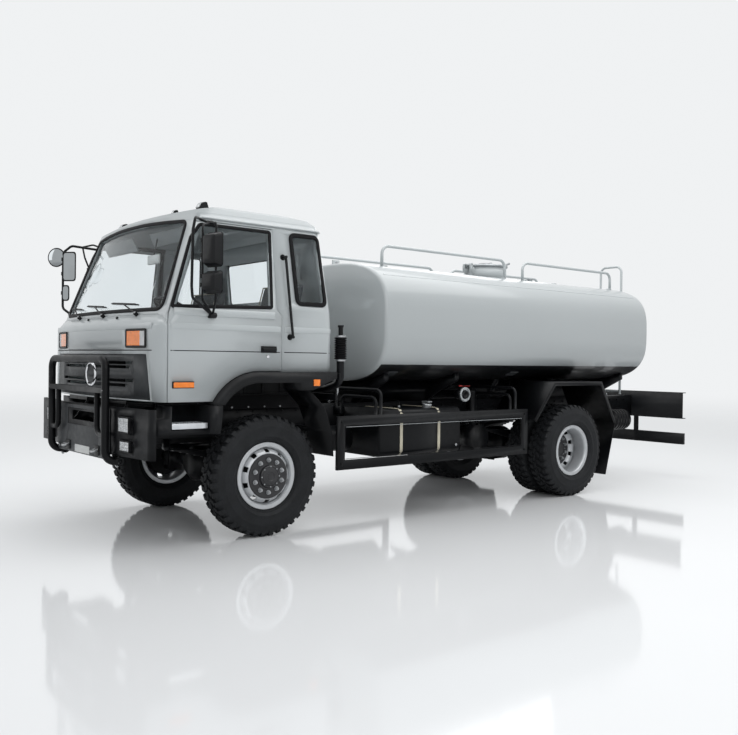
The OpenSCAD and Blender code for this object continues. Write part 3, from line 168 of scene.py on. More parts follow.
SILVER = (0.465, 0.497, 0.505)
BLACK = (0.0055, 0.006, 0.007)
paint = finish_of("body_paint", SILVER, 0.34, spread=0.012, patch=0.8, grain=420, depth=0.0002,
                  strength=0.02, rough_spread=0.004, Coat_Weight=0.35, Coat_Roughness=0.06)
black = finish_of("black_paint", BLACK, 0.36, spread=0.25, patch=1.6, grain=260, depth=0.0003,
                  strength=0.1, Specular_IOR_Level=0.16)
dark_grey = finish_of("dark_grey_plastic", (0.038, 0.041, 0.044), 0.45, spread=0.08, patch=3, grain=900,
                      depth=0.0003, strength=0.2, Specular_IOR_Level=0.25)
plastic = finish_of("black_plastic", (0.008, 0.0085, 0.0095), 0.45, spread=0.15, patch=4, grain=1100,
                    depth=0.0003, strength=0.2, Specular_IOR_Level=0.2)
rubber = finish_of("seal_rubber", (0.005, 0.005, 0.006), 0.6, spread=0.2, patch=9, grain=500,
                   Specular_IOR_Level=0.15)
cast = finish_of("cast_metal", (0.014, 0.0145, 0.0155), 0.62, 0.2, spread=0.3, patch=5, grain=120,
                 depth=0.0015, strength=0.35, Specular_IOR_Level=0.2)
steel = finish_of("steel", (0.36, 0.37, 0.38), 0.38, 1.0, spread=0.12, patch=7, grain=300)
zinc = finish_of("zinc", (0.42, 0.44, 0.45), 0.42, 0.75, spread=0.12, patch=12, grain=240)
wheel_paint = finish_of("wheel_paint", (0.46, 0.475, 0.49), 0.34, 0.35, spread=0.06, patch=6, grain=500,
                        depth=0.0002, Coat_Weight=0.3, Coat_Roughness=0.1)
hub_black = finish_of("hub_black", (0.014, 0.014, 0.016), 0.4, spread=0.3, patch=14, grain=260)
chrome = finish_of("chrome", (0.72, 0.73, 0.75), 0.08, 1.0, spread=0.03, patch=4, grain=60, strength=0.03,
                   rough_spread=0.03)
tread_alloy = finish_of("step_alloy", (0.62, 0.64, 0.66), 0.35, 0.85, spread=0.08, patch=9, grain=200)
strap_cream = finish_of("strap_cream", (0.56, 0.52, 0.41), 0.5, spread=0.1, patch=8, grain=300)
red = finish_of("lever_red", (0.42, 0.018, 0.016), 0.3, spread=0.1, patch=20, grain=300, Coat_Weight=0.4)
plate_white = finish_of("plate_white", (0.62, 0.63, 0.62), 0.4, spread=0.03, patch=20, grain=300)
reflector = finish_of("lamp_bowl", (0.9, 0.91, 0.93), 0.32, 0.55, spread=0.03, patch=30, grain=200)
# painted shade: the mirror glass is darkened to grey to stand in for the dim surroundings it reflects
mirror_glass = finish_of("mirror_glass", (0.36, 0.38, 0.39), 0.05, 1.0, spread=0.05, patch=5, grain=60,
                         strength=0.01, rough_spread=0.01)
interior = finish_of("cab_lining", (0.22, 0.235, 0.24), 0.75, spread=0.08, patch=3, grain=700, strength=0.3)


tyre = finish_of("tyre_rubber", (0.0105, 0.0115, 0.013), 0.62, spread=0.22, patch=7, grain=160,
                 depth=0.0008, strength=0.25, rough_spread=0.06, Specular_IOR_Level=0.22)


def glass(name, color, ior):
    """Thin glazing with a faint tint that deepens in soft patches."""
    m, tree, shader = material(name, color, 0.0, IOR=ior, Transmission_Weight=1.0)
    ramp(tree, noise(tree, 0.8, 2), shade(color, 0.98), shade(color, 1.02), shader.inputs["Base Color"])
    return m


def ribbed_lens(name, color, transmission, scale, axis):
    """A moulded lens with fine upright or level ribs."""
    m, tree, shader = material(name, color, 0.12, Transmission_Weight=transmission,
                               Coat_Weight=0.5, Coat_Roughness=0.03)
    bump(tree, ribs(tree, axis, scale), 0.5, 0.002)
    ramp(tree, noise(tree, 30), shade(color, 0.9), shade(color, 1.08), shader.inputs["Base Color"])
    return m


def weave():
    """Seat cloth: crossed threads over soft colour patches."""
    m, tree, shader = material("seat_cloth", (0.09, 0.095, 0.1), 0.85, Sheen_Weight=0.3)
    bump(tree, maths(tree, "MULTIPLY", ribs(tree, "X", 90), ribs(tree, "Z", 90)), 0.5, 0.001)
    ramp(tree, noise(tree, 7), (0.07, 0.075, 0.08), (0.12, 0.125, 0.13), shader.inputs["Base Color"])
    return m


window = glass("window_glass", (0.9, 0.93, 0.94), 1.16)
clear_lens = ribbed_lens("clear_lens", (0.9, 0.92, 0.94), 0.45, 26, "X")
amber = ribbed_lens("amber_lens", (0.92, 0.215, 0.002), 0.0, 30, "Z")
red_lens = ribbed_lens("red_lens", (0.5, 0.01, 0.01), 0.2, 30, "Z")
cloth = weave()


def tank_with_painted_belly_shade(split_z, front_y, rear_y):
    """Silver tank paint with painted shade: the barrel is black below the split as painted shade of its
    underside, the heads are silver all over.
    """
    # painted shade: the tank takes the cab's silver darkened to 0.86, though it is the same paint
    m = finish_of("tank_paint", shade(SILVER, 0.86), 0.34, spread=0.01, patch=0.7, grain=420, depth=0.0002,
                  strength=0.02, rough_spread=0.004, Coat_Weight=0.4, Coat_Roughness=0.05)
    tree = m.node_tree
    base = tree.nodes["Principled BSDF"].inputs["Base Color"]
    silver = base.links[0].from_socket
    split = node(tree, "SeparateXYZ")
    tree.links.new(object_place(tree), split.inputs["Vector"])
    # painted shade: the barrel below split_z is turned black
    low = maths(tree, "LESS_THAN", split.outputs["Z"], split_z)
    between = maths(tree, "MULTIPLY", maths(tree, "GREATER_THAN", split.outputs["Y"], front_y),
                    maths(tree, "LESS_THAN", split.outputs["Y"], rear_y))
    mix = node(tree, "MixRGB", Color2=(*BLACK, 1))
    tree.links.new(maths(tree, "MULTIPLY", low, between), mix.inputs["Fac"])
    tree.links.new(silver, mix.inputs["Color1"])
    tree.links.new(mix.outputs["Color"], base)
    return m


# ------------------------------------------------------------------ mesh helpers


def frame_on(direction):
    """Two unit vectors across a direction."""
    d = direction.normalized()
    side = d.cross(V(0, 0, 1))
    if side.length < 1e-4:
        side = d.cross(V(0, 1, 0))
    side.normalize()
    return side, side.cross(d).normalized()


def around(a, b, i, count):
    """The i-th of count directions round the plane of a and b."""
    t = 2 * math.pi * i / count
    return a * math.cos(t) + b * math.sin(t)


class Piece:
    """Gathers solids with their materials into one mesh object."""

    def __init__(self, name):
        self.name = name
        self.verts, self.faces, self.picks, self.mats = [], [], [], []

    def add(self, verts, faces, mat):
        base = len(self.verts)
        self.verts += [Vector(v) for v in verts]
        self.faces += [[base + i for i in f] for f in faces]
        if mat not in self.mats:
            self.mats.append(mat)
        self.picks += [self.mats.index(mat)] * len(faces)

    def box(self, lo, hi, mat, bevel=0.003, turn=None):
        """A box with bevelled edges; turn is a matrix about its middle."""
        lo, hi = Vector(lo), Vector(hi)
        size, mid = hi - lo, (lo + hi) / 2
        bm = bmesh.new()
        bmesh.ops.create_cube(bm, size=1)
        for v in bm.verts:
            v.co = Vector(c * s for c, s in zip(v.co, size))
        bevel = min(bevel, min(abs(s) for s in size) * 0.45)
        if bevel > 0:
            bmesh.ops.bevel(bm, geom=bm.edges[:], offset=bevel, segments=2, profile=0.5, affect="EDGES")
        if turn is not None:
            bmesh.ops.transform(bm, matrix=turn.to_4x4(), verts=bm.verts)
        bm.verts.index_update()
        self.add([v.co + mid for v in bm.verts], [[v.index for v in f.verts] for f in bm.faces], mat)
        bm.free()

    def lathe(self, profile, origin, axis, mat, seg=48, ring=False):
        """Turns (radius, distance along axis) pairs round the axis; ring closes the profile on itself."""
        origin, d = Vector(origin), Vector(axis).normalized()
        a, b = frame_on(d)
        verts, faces, rows = [], [], []
        for r, h in profile:
            if r < 1e-7:
                rows.append([len(verts)])
                verts.append(origin + d * h)
                continue
            rows.append(list(range(len(verts), len(verts) + seg)))
            verts += [origin + d * h + around(a, b, i, seg) * r for i in range(seg)]
        pairs = list(zip(rows, rows[1:])) + ([(rows[-1], rows[0])] if ring else [])
        for p, q in pairs:
            for i in range(seg):
                j = (i + 1) % seg
                if len(p) == 1 and len(q) == 1:
                    continue
                if len(p) == 1:
                    faces.append([p[0], q[j], q[i]])
                elif len(q) == 1:
                    faces.append([p[i], p[j], q[0]])
                else:
                    faces.append([p[i], p[j], q[j], q[i]])
        self.add(verts, faces, mat)

    def rod(self, a, b, r, mat, seg=20, chamfer=0.0015, r2=None):
        """A round bar from a to b with chamfered ends."""
        a, b = Vector(a), Vector(b)
        h = (b - a).length
        r2 = r if r2 is None else r2
        c = min(chamfer, r * 0.4, r2 * 0.4, h * 0.4)
        self.lathe([(0, 0), (r - c, 0), (r, c), (r2, h - c), (r2 - c, h), (0, h)], a, b - a, mat, seg)

    def hexagon(self, a, b, r, mat):
        """A nut or bolt head."""
        self.rod(a, b, r, mat, seg=6, chamfer=r * 0.12)

    def tube(self, points, r, mat, seg=12, closed=False):
        """A round tube along points."""
        section = [(r * math.cos(2 * math.pi * i / seg), r * math.sin(2 * math.pi * i / seg))
                   for i in range(seg)]
        self.sweep(points, section, mat, closed=closed)

    def sweep(self, points, section, mat, normals=None, closed=False):
        """Carries a section of (across, out) pairs along points. normals give the outward direction."""
        pts = [Vector(p) for p in points]
        n = len(pts)
        carried = None
        verts, faces = [], []
        for i, p in enumerate(pts):
            before = pts[i - 1] if i or closed else pts[i]
            after = pts[(i + 1) % n] if i < n - 1 or closed else pts[i]
            d = (after - before).normalized()
            if normals:
                out = Vector(normals[i])
                out = (out - d * out.dot(d)).normalized()
            else:
                out = frame_on(d)[1] if carried is None else (carried - d * carried.dot(d)).normalized()
                carried = out
            across = d.cross(out)
            verts += [p + across * u + out * v for u, v in section]
        m = len(section)
        for i in range(n if closed else n - 1):
            k = (i + 1) % n
            for j in range(m):
                faces.append([i * m + j, i * m + (j + 1) % m, k * m + (j + 1) % m, k * m + j])
        if not closed:
            faces.append(list(range(m))[::-1])
            faces.append([(n - 1) * m + j for j in range(m)])
        self.add(verts, faces, mat)

    def prism(self, outline, lift, mat):
        """Extrudes a closed outline of points by the vector lift."""
        pts = [Vector(p) for p in outline]
        n = len(pts)
        verts = pts + [p + Vector(lift) for p in pts]
        faces = [list(range(n))[::-1], list(range(n, 2 * n))]
        faces += [[i, (i + 1) % n, n + (i + 1) % n, n + i] for i in range(n)]
        self.add(verts, faces, mat)

    def done(self, body, at=None, angle=35, replaces=()):
        mesh = bpy.data.meshes.new(self.name)
        mesh.from_pydata([tuple(v) for v in self.verts], [], self.faces)
        for m in self.mats:
            mesh.materials.append(m)
        mesh.polygons.foreach_set("material_index", self.picks)
        bm = bmesh.new()
        bm.from_mesh(mesh)
        bmesh.ops.recalc_face_normals(bm, faces=bm.faces)
        bm.to_mesh(mesh)
        bm.free()
        mesh.polygons.foreach_set("use_smooth", [True] * len(mesh.polygons))
        mesh.set_sharp_from_angle(angle=math.radians(angle))
        return put(self.name, mesh, body, at, replaces)


def put(name, mesh, body, at=None, replaces=()):
    """Puts a mesh in the scene, riding on a body."""
    o = bpy.data.objects.new(name, mesh)
    bpy.context.scene.collection.objects.link(o)
    if at is not None:
        o.location = at
    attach(o, body)
    if replaces:
        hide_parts(*replaces)
    return o


def rounded(points, radius, steps=6, closed=False):
    """Rounds the corners of a line of points."""
    pts = [Vector(p) for p in points]
    n = len(pts)
    out = []
    for i, p in enumerate(pts):
        if not closed and i in (0, n - 1):
            out.append(p)
            continue
        a, b = pts[i - 1], pts[(i + 1) % n]
        da, db = (a - p), (b - p)
        half = da.angle(db) / 2
        cut = min(radius / max(math.tan(half), 1e-3), da.length * 0.48, db.length * 0.48)
        s, e = p + da.normalized() * cut, p + db.normalized() * cut
        for k in range(steps + 1):
            t = k / steps
            out.append(s * (1 - t) ** 2 + p * 2 * t * (1 - t) + e * t * t)
    return out


def dense(points, step, closed=False):
    """Adds points so that no stretch is longer than step."""
    pts = [Vector(p) for p in points]
    out = []
    for i in range(len(pts) if closed else len(pts) - 1):
        a, b = pts[i], pts[(i + 1) % len(pts)]
        k = max(1, math.ceil((b - a).length / step))
        out += [a.lerp(b, j / k) for j in range(k)]
    if not closed:
        out.append(pts[-1])
    return out


def skin(*names):
    """A search tree over CAD nodes, to lay trim on them."""
    verts, polys = [], []
    for n in names:
        m = NODES[n].data
        base = len(verts)
        verts += [v.co.copy() for v in m.vertices]
        polys += [[base + i for i in p.vertices] for p in m.polygons]
    return BVHTree.FromPolygons(verts, polys)


def lay(tree, outline, direction):
    """Drops points (each at a far place) along a direction onto a skin; gives places and normals."""
    places, normals = [], []
    d = Vector(direction)
    for p in outline:
        hit, normal, _, _ = tree.ray_cast(Vector(p) - d * 3, d)
        if hit is None:
            continue
        if normal.dot(d) > 0:
            normal = -normal
        places.append(hit)
        normals.append(normal)
    return places, normals


def strip(w, h):
    """Section of a low moulding, w wide and h proud of the surface."""
    return [(-w / 2, -0.002), (-w / 2, h * 0.5), (-w * 0.3, h), (w * 0.3, h), (w / 2, h * 0.5),
            (w / 2, -0.002)]


def bar(half, low, high):
    """Section of a square bar, from low to high above the surface."""
    return [(-half, low), (-half, high), (half, high), (half, low)]


def drop(tree, x, y):
    """The point of a skin right under (x, y)."""
    return tree.ray_cast(P(x, y, 5), V(0, 0, -1))[0]


def dress(mat, *names):
    for n in names:
        NODES[n].data.materials.clear()
        NODES[n].data.materials.append(mat)


def smooth_nodes(names, angle=32):
    """Shades curved CAD faces smooth and keeps their edges crisp."""
    for n in names:
        m = NODES[n].modifiers.new("weld", "WELD")
        m.merge_threshold = 1e-5
        NODES[n].data.polygons.foreach_set("use_smooth", [True] * len(NODES[n].data.polygons))
        NODES[n].data.set_sharp_from_angle(angle=math.radians(angle))


# ------------------------------------------------------------------ CAD nodes' finishes
tank_lo, tank_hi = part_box("water_tank")
HEAD = 0.1     # depth of the tank's silver heads
SPLIT_Z = 1.54  # the barrel is painted black below this height, painted shade of its underside
dress(tank_with_painted_belly_shade(SPLIT_Z, tank_lo.y + HEAD, tank_hi.y - HEAD), "water_tank")
dress(paint, "cab_shell", "cab_front_panel", "cab_roof", "door_left", "door_right", "manhole_neck",
      "top_rails", "rear_ladder")
dress(black, "chassis_frame", "front_bumper", "front_axle", "rear_axle", "leaf_springs", "fuel_tank",
      "air_tanks", "battery_box", "cab_steps", "tank_cradle", "side_guards", "rear_mudguards",
      "tail_beam", "brush_guard", "cab_subframe", "water_pipes", "muffler")
dress(dark_grey, "cab_grille")
dress(plastic, "cab_fenders", "dashboard", "steering_wheel")
dress(rubber, "door_seals")
dress(cast, "engine", "driveline", "knuckle_left", "knuckle_right")
dress(steel, "tie_rod")
dress(zinc, "manhole_lid")
dress(red, "valve_lever")
dress(window, "cab_glass", "door_glass_left", "door_glass_right")
dress(cloth, "seats")
smooth_nodes([n for n in NODES if "glass" not in n])

# ------------------------------------------------------------------ wheels
RIM_HALF = 0.108  # half the rim's width
LIP_R = 0.299     # radius of the rim's lips


def tyre_mesh():
    """One tyre about the origin, its axle along X, with block tread and ringed walls."""
    t = Piece("tyre")
    wall = [(0.2585, 0.094), (0.29, 0.098), (0.302, 0.099), (0.309, 0.108), (0.316, 0.116), (0.319, 0.122),
            (0.324, 0.122), (0.33, 0.1285), (0.347, 0.1385), (0.352, 0.1425), (0.358, 0.1425),
            (0.363, 0.1405), (0.392, 0.1445), (0.41, 0.1449), (0.432, 0.1445), (0.437, 0.1449),
            (0.443, 0.1446), (0.448, 0.141), (0.47, 0.1365), (0.492, 0.129), (0.508, 0.121),
            (0.518, 0.108), (0.522, 0.085), (0.524, 0.0)]
    whole = wall + [(r, -x) for r, x in reversed(wall[:-1])]
    t.lathe(whole, (0, 0, 0), (1, 0, 0), tyre, seg=120, ring=True)
    pitches = 40
    shoulder = [(0.54, 0.056), (0.54, 0.086), (0.5365, 0.11), (0.524, 0.12), (0.508, 0.1275),
                (0.49, 0.1335)]
    floor = [(0.516, 0.056), (0.516, 0.08), (0.514, 0.1), (0.505, 0.114), (0.493, 0.121),
             (0.482, 0.127)]
    rib, rib_floor = [[(r, x) for x in (0.01, 0.03, 0.048)] for r in (0.54, 0.516)]

    def spot(r, x, a):
        return V(x, r * math.sin(a), r * math.cos(a))

    def block(rows, low, a0, a1, skew, side):
        """A tread block over stations of (radius, x) from angle a0 to a1, leaning by skew."""
        verts, n = [], len(rows)
        for (r, x), (q, y) in zip(rows, low):
            lean = skew * (x - rows[0][1])
            for a, inset in ((a0, 0.0035), (a1, -0.0035)):
                verts.append(spot(r, side * x, a + lean + inset))
                verts.append(spot(q, side * y, a + lean))
        faces = [[0, 1, 3, 2], [4 * n - 4, 4 * n - 2, 4 * n - 1, 4 * n - 3]]
        for i in range(n - 1):
            k = 4 * i
            faces += [[k, k + 4, k + 5, k + 1], [k + 2, k + 3, k + 7, k + 6], [k, k + 2, k + 6, k + 4],
                      [k + 1, k + 5, k + 7, k + 3]]
        t.add(verts, faces, tyre)

    step = 2 * math.pi / pitches
    for side in (1, -1):
        for i in range(pitches):
            a = step * (i + (0.5 if side < 0 else 0))
            keep = 6 if i % 2 else 5
            block(shoulder[:keep], floor[:keep], a, a + step * 0.58, 0.35, side)
            b = a + step * 0.42
            block(rib, rib_floor, b, b + step * 0.62, -1.1, side)
    o = t.done("front_left_wheel")
    mesh = o.data
    bpy.data.objects.remove(o)
    return mesh


def wheel(name, body, at, side, dish, replaces):
    """A disc wheel at a point. side is the outward direction; dish is where its disc's face stands."""
    w = Piece(name)
    out = V(side, 0, 0)
    bend = 1 if dish > 0 else -1
    lip = [(LIP_R - 0.004, 0.0), (LIP_R, 0.003), (LIP_R, 0.008), (0.264, 0.011), (0.2565, 0.02)]
    well = [(0.262, 0.002), (0.252, 0.012), (0.248, 0.03), (0.246, RIM_HALF - 0.02)]
    rim = [(r, h - RIM_HALF) for r, h in lip] + [(r, RIM_HALF - h) for r, h in lip[::-1] + well]
    rim += [(r, h - RIM_HALF) for r, h in well[::-1]]
    w.lathe(rim, at, out, wheel_paint, seg=96, ring=True)
    # the disc, with hand holes round it
    rows = [(r, dish - bend * h) for r, h in ((0.2465, 0.074), (0.2465, 0.058), (0.24, 0.044),
                                              (0.2265, 0.02), (0.21, 0.008), (0.192, 0.0), (0.188, 0.0))]
    a, b = frame_on(out)
    holes, seg = 10, 120
    verts, faces = [], []
    thick = out * bend * 0.01

    def ring_point(r, h, i):
        return Vector(at) + out * h + around(a, b, i, seg) * r

    count = len(rows)
    s = count * seg  # the inner face's points start here
    for r, h in rows:
        verts += [ring_point(r, h, i) for i in range(seg)]
    for r, h in rows:
        verts += [ring_point(r, h, i) - thick for i in range(seg)]
    gap = lambda k, i: k in (2, 3) and (i % (seg // holes)) in (4, 5, 6, 7)
    for k in range(count - 1):
        for i in range(seg):
            j = (i + 1) % seg
            p, q = k * seg, (k + 1) * seg
            if gap(k, i):
                if not gap(k - 1, i):
                    faces.append([p + i, p + j, s + p + j, s + p + i])
                if not gap(k + 1, i):
                    faces.append([q + i, q + j, s + q + j, s + q + i])
                if not gap(k, i - 1):
                    faces.append([p + i, q + i, s + q + i, s + p + i])
                if not gap(k, j):
                    faces.append([p + j, q + j, s + q + j, s + p + j])
                continue
            faces.append([p + i, p + j, q + j, q + i])
            faces.append([s + p + i, s + p + j, s + q + j, s + q + i])
    for i in range(seg):
        j, e = (i + 1) % seg, s - seg
        faces.append([i, j, s + j, s + i])
        faces.append([e + i, e + j, s + e + j, s + e + i])
    w.add(verts, faces, wheel_paint)
    # hub, nuts and cap, all on the outward side
    base = dish if bend > 0 else dish + 0.01
    hub = ((0.2, -0.012), (0.2, 0.004), (0.196, 0.009), (0.172, 0.01), (0.164, 0.007), (0.122, 0.007),
           (0.118, 0.012), (0.104, 0.015), (0.1, 0.02), (0.098, 0.038), (0.092, 0.043), (0.084, 0.044),
           (0.082, 0.04), (0.0, 0.04))
    cap = ((0.08, 0.038), (0.08, 0.044), (0.074, 0.047), (0.04, 0.047), (0.036, 0.043), (0.0, 0.044))
    for profile, seg in ((hub, 72), (cap, 48)):
        w.lathe([(r, base + h) for r, h in profile], at, out, hub_black, seg=seg)
    for i in range(10):
        c = Vector(at) + around(a, b, i + 0.5, 10) * 0.1445
        w.lathe([(0.0, base + 0.006), (0.021, base + 0.006), (0.021, base + 0.01), (0.0, base + 0.01)], c,
                out, steel, seg=20)
        w.hexagon(c + out * (base + 0.009), c + out * (base + 0.028), 0.0175, steel)
        w.rod(c + out * (base + 0.026), c + out * (base + 0.04), 0.0095, steel, seg=12)
    for i in range(8):
        c = Vector(at) + around(a, b, i, 8) * 0.09
        w.hexagon(c + out * (base + 0.04), c + out * (base + 0.048), 0.0065, steel)
    w.done(body, replaces=replaces)


def brake(name, body, at, side, reach):
    """Drum and hub inside a wheel."""
    b = Piece(name)
    out = V(side, 0, 0)
    b.lathe([(0.05, reach[0]), (0.195, reach[0]), (0.2, reach[0] + 0.006), (0.2, reach[1] - 0.012),
             (0.188, reach[1]), (0.05, reach[1])], at, out, cast, seg=64, ring=True)
    for k in range(3):
        h = reach[0] + 0.02 + 0.03 * k
        b.lathe([(0.199, h), (0.206, h + 0.004), (0.206, h + 0.008), (0.199, h + 0.012)], at, out, cast,
                seg=64, ring=True)
    b.done(body)


tyres = tyre_mesh()
DUAL = 0.165  # from the middle of a twin pair to each wheel
for side, word in ((1, "left"), (-1, "right")):
    body = f"front_{word}_wheel"
    at = V(side * FRONT_WHEEL.x, FRONT_WHEEL.y, FRONT_WHEEL.z)
    put(f"tyre_front_{word}_tread", tyres, body, at, [f"tyre_front_{word}"])
    wheel(f"rim_front_{word}", body, at, side, 0.128, [f"wheel_front_{word}"])
    brake(f"drum_front_{word}", body, at, side, (-0.05, 0.07))
    body = f"rear_{word}_wheels"
    for k, (shift, dish) in enumerate(((DUAL, -0.128), (-DUAL, 0.128))):
        at = V(side * (REAR_WHEEL.x + shift), REAR_WHEEL.y, REAR_WHEEL.z)
        put(f"tyre_rear_{word}_{k}", tyres, body, at, [f"tyres_rear_{word}"])
        wheel(f"rim_rear_{word}_{k}", body, at, side, dish, [f"wheels_rear_{word}"])
    at = V(side * (REAR_WHEEL.x - DUAL), REAR_WHEEL.y, REAR_WHEEL.z)
    brake(f"drum_rear_{word}", body, at, side, (-0.075, 0.1))

# ------------------------------------------------------------------ cab trim
SIDES = ((1, "left"), (-1, "right"))
front_skin = skin("cab_shell", "cab_front_panel", "cab_roof")
door_skin = {1: skin("door_left"), -1: skin("door_right")}
cab_skin = skin("cab_shell", "cab_roof")


def grow(outline, d):
    """Moves the sides of a convex outline of (a, b) pairs outward by d."""
    pts = [Vector(p) for p in outline]
    n = len(pts)
    area = sum(pts[i].x * pts[(i + 1) % n].y - pts[(i + 1) % n].x * pts[i].y for i in range(n))
    hand = 1 if area > 0 else -1
    out = []
    for i, p in enumerate(pts):
        e1, e2 = (p - pts[i - 1]).normalized(), (pts[(i + 1) % n] - p).normalized()
        n1, n2 = V(e1.y, -e1.x) * hand, V(e2.y, -e2.x) * hand
        out.append(p + (n1 + n2) * (d / (1 + n1.dot(n2))))
    return out


def side_lay(tree, s, yz):
    return lay(tree, [P(0, y, z) for y, z in yz], (-s, 0, 0))


def front_lay(tree, xz):
    return lay(tree, [V(x, AXLE_Y - 1, z) for x, z in xz], (0, 1, 0))


def trim(piece, laid, w, h, mat, closed=False):
    places, normals = laid
    if len(places) > 2:
        piece.sweep(places, strip(w, h), mat, normals, closed)


def loop(outline, radius, d=0.0, step=0.03):
    return dense(rounded(grow(outline, d), radius, closed=True), step, closed=True)


def line(a, b, z):
    """A level line from a to b at height z."""
    return dense([(a, z), (b, z)], 0.05)


CAB_HALF = 1.2    # half the cab's width below the windows
RIDGE_Z = 1.84    # pressed ridge round the cab
JOINT_Z = 1.639   # joint line under it
SCREEN = [(-1.035, 1.985), (1.035, 1.985), (0.925, 2.73), (0.6, 2.748), (0.25, 2.76), (-0.25, 2.76),
          (-0.6, 2.748), (-0.925, 2.73)]
DOOR_WINDOW = [(-0.975, 2.005), (-0.055, 2.035), (-0.03, 2.69), (-0.69, 2.69), (-0.775, 2.56)]
QUARTER = [(0.235, 2.085), (0.53, 2.085), (0.49, 2.69), (0.205, 2.69)]
BACK_WINDOW = [(-0.65, 2.16), (0.65, 2.16), (0.65, 2.58), (-0.65, 2.58)]

t = Piece("screen_seal")
trim(t, front_lay(front_skin, loop(SCREEN, 0.07, 0.007)), 0.034, 0.009, rubber, True)
trim(t, lay(cab_skin, [P(x, 0, z) for x, z in loop(BACK_WINDOW, 0.05, 0.007)], (0, -1, 0)), 0.03, 0.008,
     rubber, True)
t.done("cab")

for s, word in SIDES:
    t = Piece(f"quarter_seal_{word}")
    trim(t, side_lay(cab_skin, s, loop(QUARTER, 0.05, 0.008)), 0.04, 0.013, rubber, True)
    t.done("cab")
    t = Piece(f"door_window_seal_{word}")
    trim(t, side_lay(door_skin[s], s, loop(DOOR_WINDOW, 0.018, 0.007)), 0.03, 0.007, rubber, True)
    t.done(f"{word}_door")

    # pressed ridges and joint lines
    t = Piece(f"door_ridges_{word}")
    trim(t, side_lay(door_skin[s], s, line(-1.005, 0.04, RIDGE_Z)), 0.05, 0.008, paint)
    trim(t, side_lay(door_skin[s], s, line(-0.965, -0.02, 1.958)), 0.06, 0.014, paint)
    trim(t, side_lay(door_skin[s], s, line(-1.005, 0.04, JOINT_Z)), 0.007, 0.0015, rubber)
    t.done(f"{word}_door")
    t = Piece(f"side_ridges_{word}")
    trim(t, side_lay(cab_skin, s, line(0.085, 0.64, RIDGE_Z)), 0.05, 0.008, paint)
    trim(t, side_lay(cab_skin, s, line(0.085, 0.64, JOINT_Z)), 0.007, 0.0015, rubber)
    t.done("cab")

t = Piece("front_ridges")
trim(t, front_lay(front_skin, line(-1.06, 1.06, RIDGE_Z)), 0.05, 0.008, paint)
trim(t, front_lay(front_skin, line(-1.06, 1.06, JOINT_Z)), 0.008, 0.002, rubber)
trim(t, front_lay(front_skin, line(-1.03, 1.03, 1.236)), 0.03, 0.006, plastic)
t.done("cab")

# wipers and washer jets
glass_skin = skin("cab_glass")
t = Piece("wipers")
for x0 in (0.72, 0.12, -0.48):
    foot, out = front_lay(front_skin, [(x0, 1.935)])
    tip, face = front_lay(glass_skin, [(x0 - 0.3, 2.035)])
    if not foot or not tip:
        continue
    base, hold = foot[0] + out[0] * 0.004, tip[0] + face[0] * 0.03
    t.rod(foot[0] - out[0] * 0.01, foot[0] + out[0] * 0.032, 0.017, plastic)
    t.rod(foot[0] + out[0] * 0.03, foot[0] + out[0] * 0.037, 0.01, steel, seg=6)
    bend = base + out[0] * 0.03 + (hold - base) * 0.25
    t.tube(rounded([base + out[0] * 0.022, bend, hold], 0.03), 0.0065, plastic, seg=8)
    places, normals = front_lay(glass_skin, dense([(x0 - 0.55, 2.05), (x0 - 0.05, 2.022)], 0.04))
    t.sweep([p + n * 0.008 for p, n in zip(places, normals)],
            bar(0.004, -0.006, 0.01), rubber, normals)
    t.sweep([p + n * 0.02 for p, n in zip(places[1:-1], normals[1:-1])],
            bar(0.007, -0.003, 0.004), plastic, normals[1:-1])
for x0 in (0.42, -0.2):
    foot, out = front_lay(front_skin, [(x0, 1.915)])
    if foot:
        t.rod(foot[0] - out[0] * 0.005, foot[0] + out[0] * 0.014, 0.011, plastic)
t.done("cab")

for s, word in SIDES:
    t = Piece(f"door_fittings_{word}")
    wall_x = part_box(f"door_{word}")[1].x if s > 0 else -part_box(f"door_{word}")[0].x
    # handle in its recess plate, with a lock below
    t.box(P(s * wall_x, -0.155, 1.632) - V(0.004 * s, 0, 0), P(s * (wall_x + 0.005), 0.005, 1.69),
          plastic, 0.002)
    t.box(P(s * (wall_x + 0.006), -0.148, 1.65), P(s * (wall_x + 0.028), -0.005, 1.676), plastic, 0.006)
    t.rod(P(s * wall_x, -0.085, 1.6), P(s * (wall_x + 0.008), -0.085, 1.6), 0.014, chrome)
    # amber side lamp
    t.box(P(s * (wall_x - 0.004), -0.99, 1.332), P(s * (wall_x + 0.01), -0.796, 1.388), plastic, 0.003)
    t.box(P(s * (wall_x + 0.008), -0.984, 1.338), P(s * (wall_x + 0.024), -0.802, 1.382), amber, 0.007)
    # caps on the pillar in front of the door
    for y, z in ((-0.886, 2.42), (-0.961, 2.18)):
        hit, out = side_lay(cab_skin, s, [(y - 0.02, z)])
        if hit:
            t.rod(hit[0] - out[0] * 0.004, hit[0] + out[0] * 0.012, 0.017, plastic)
    t.done(f"{word}_door")

    t = Piece(f"cab_fittings_{word}")
    # grab handle behind the door
    half = lambda z: CAB_HALF - max(0.0, 0.1 * (z - 2.01) / 0.74)
    top, low = P(s * (half(2.484) + 0.052), 0.1, 2.484), P(s * (half(1.775) + 0.052), 0.143, 1.775)
    t.tube(dense([top, low], 0.1), 0.012, plastic, seg=14)
    for p, z in ((top, 2.484), (low, 1.775)):
        wall = V(s * half(z), p.y, z)
        t.rod(wall - V(s * 0.003, 0, 0), p + V(s * 0.012, 0, 0), 0.013, plastic)
        t.rod(wall - V(s * 0.003, 0, 0), wall + V(s * 0.006, 0, 0), 0.027, plastic)
    # amber reflector on the wing
    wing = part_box("cab_fenders")[1].x
    t.box(P(s * (wing - 0.002), 0.385, 1.34), P(s * (wing + 0.006), 0.455, 1.4), amber, 0.004)
    t.done("cab")

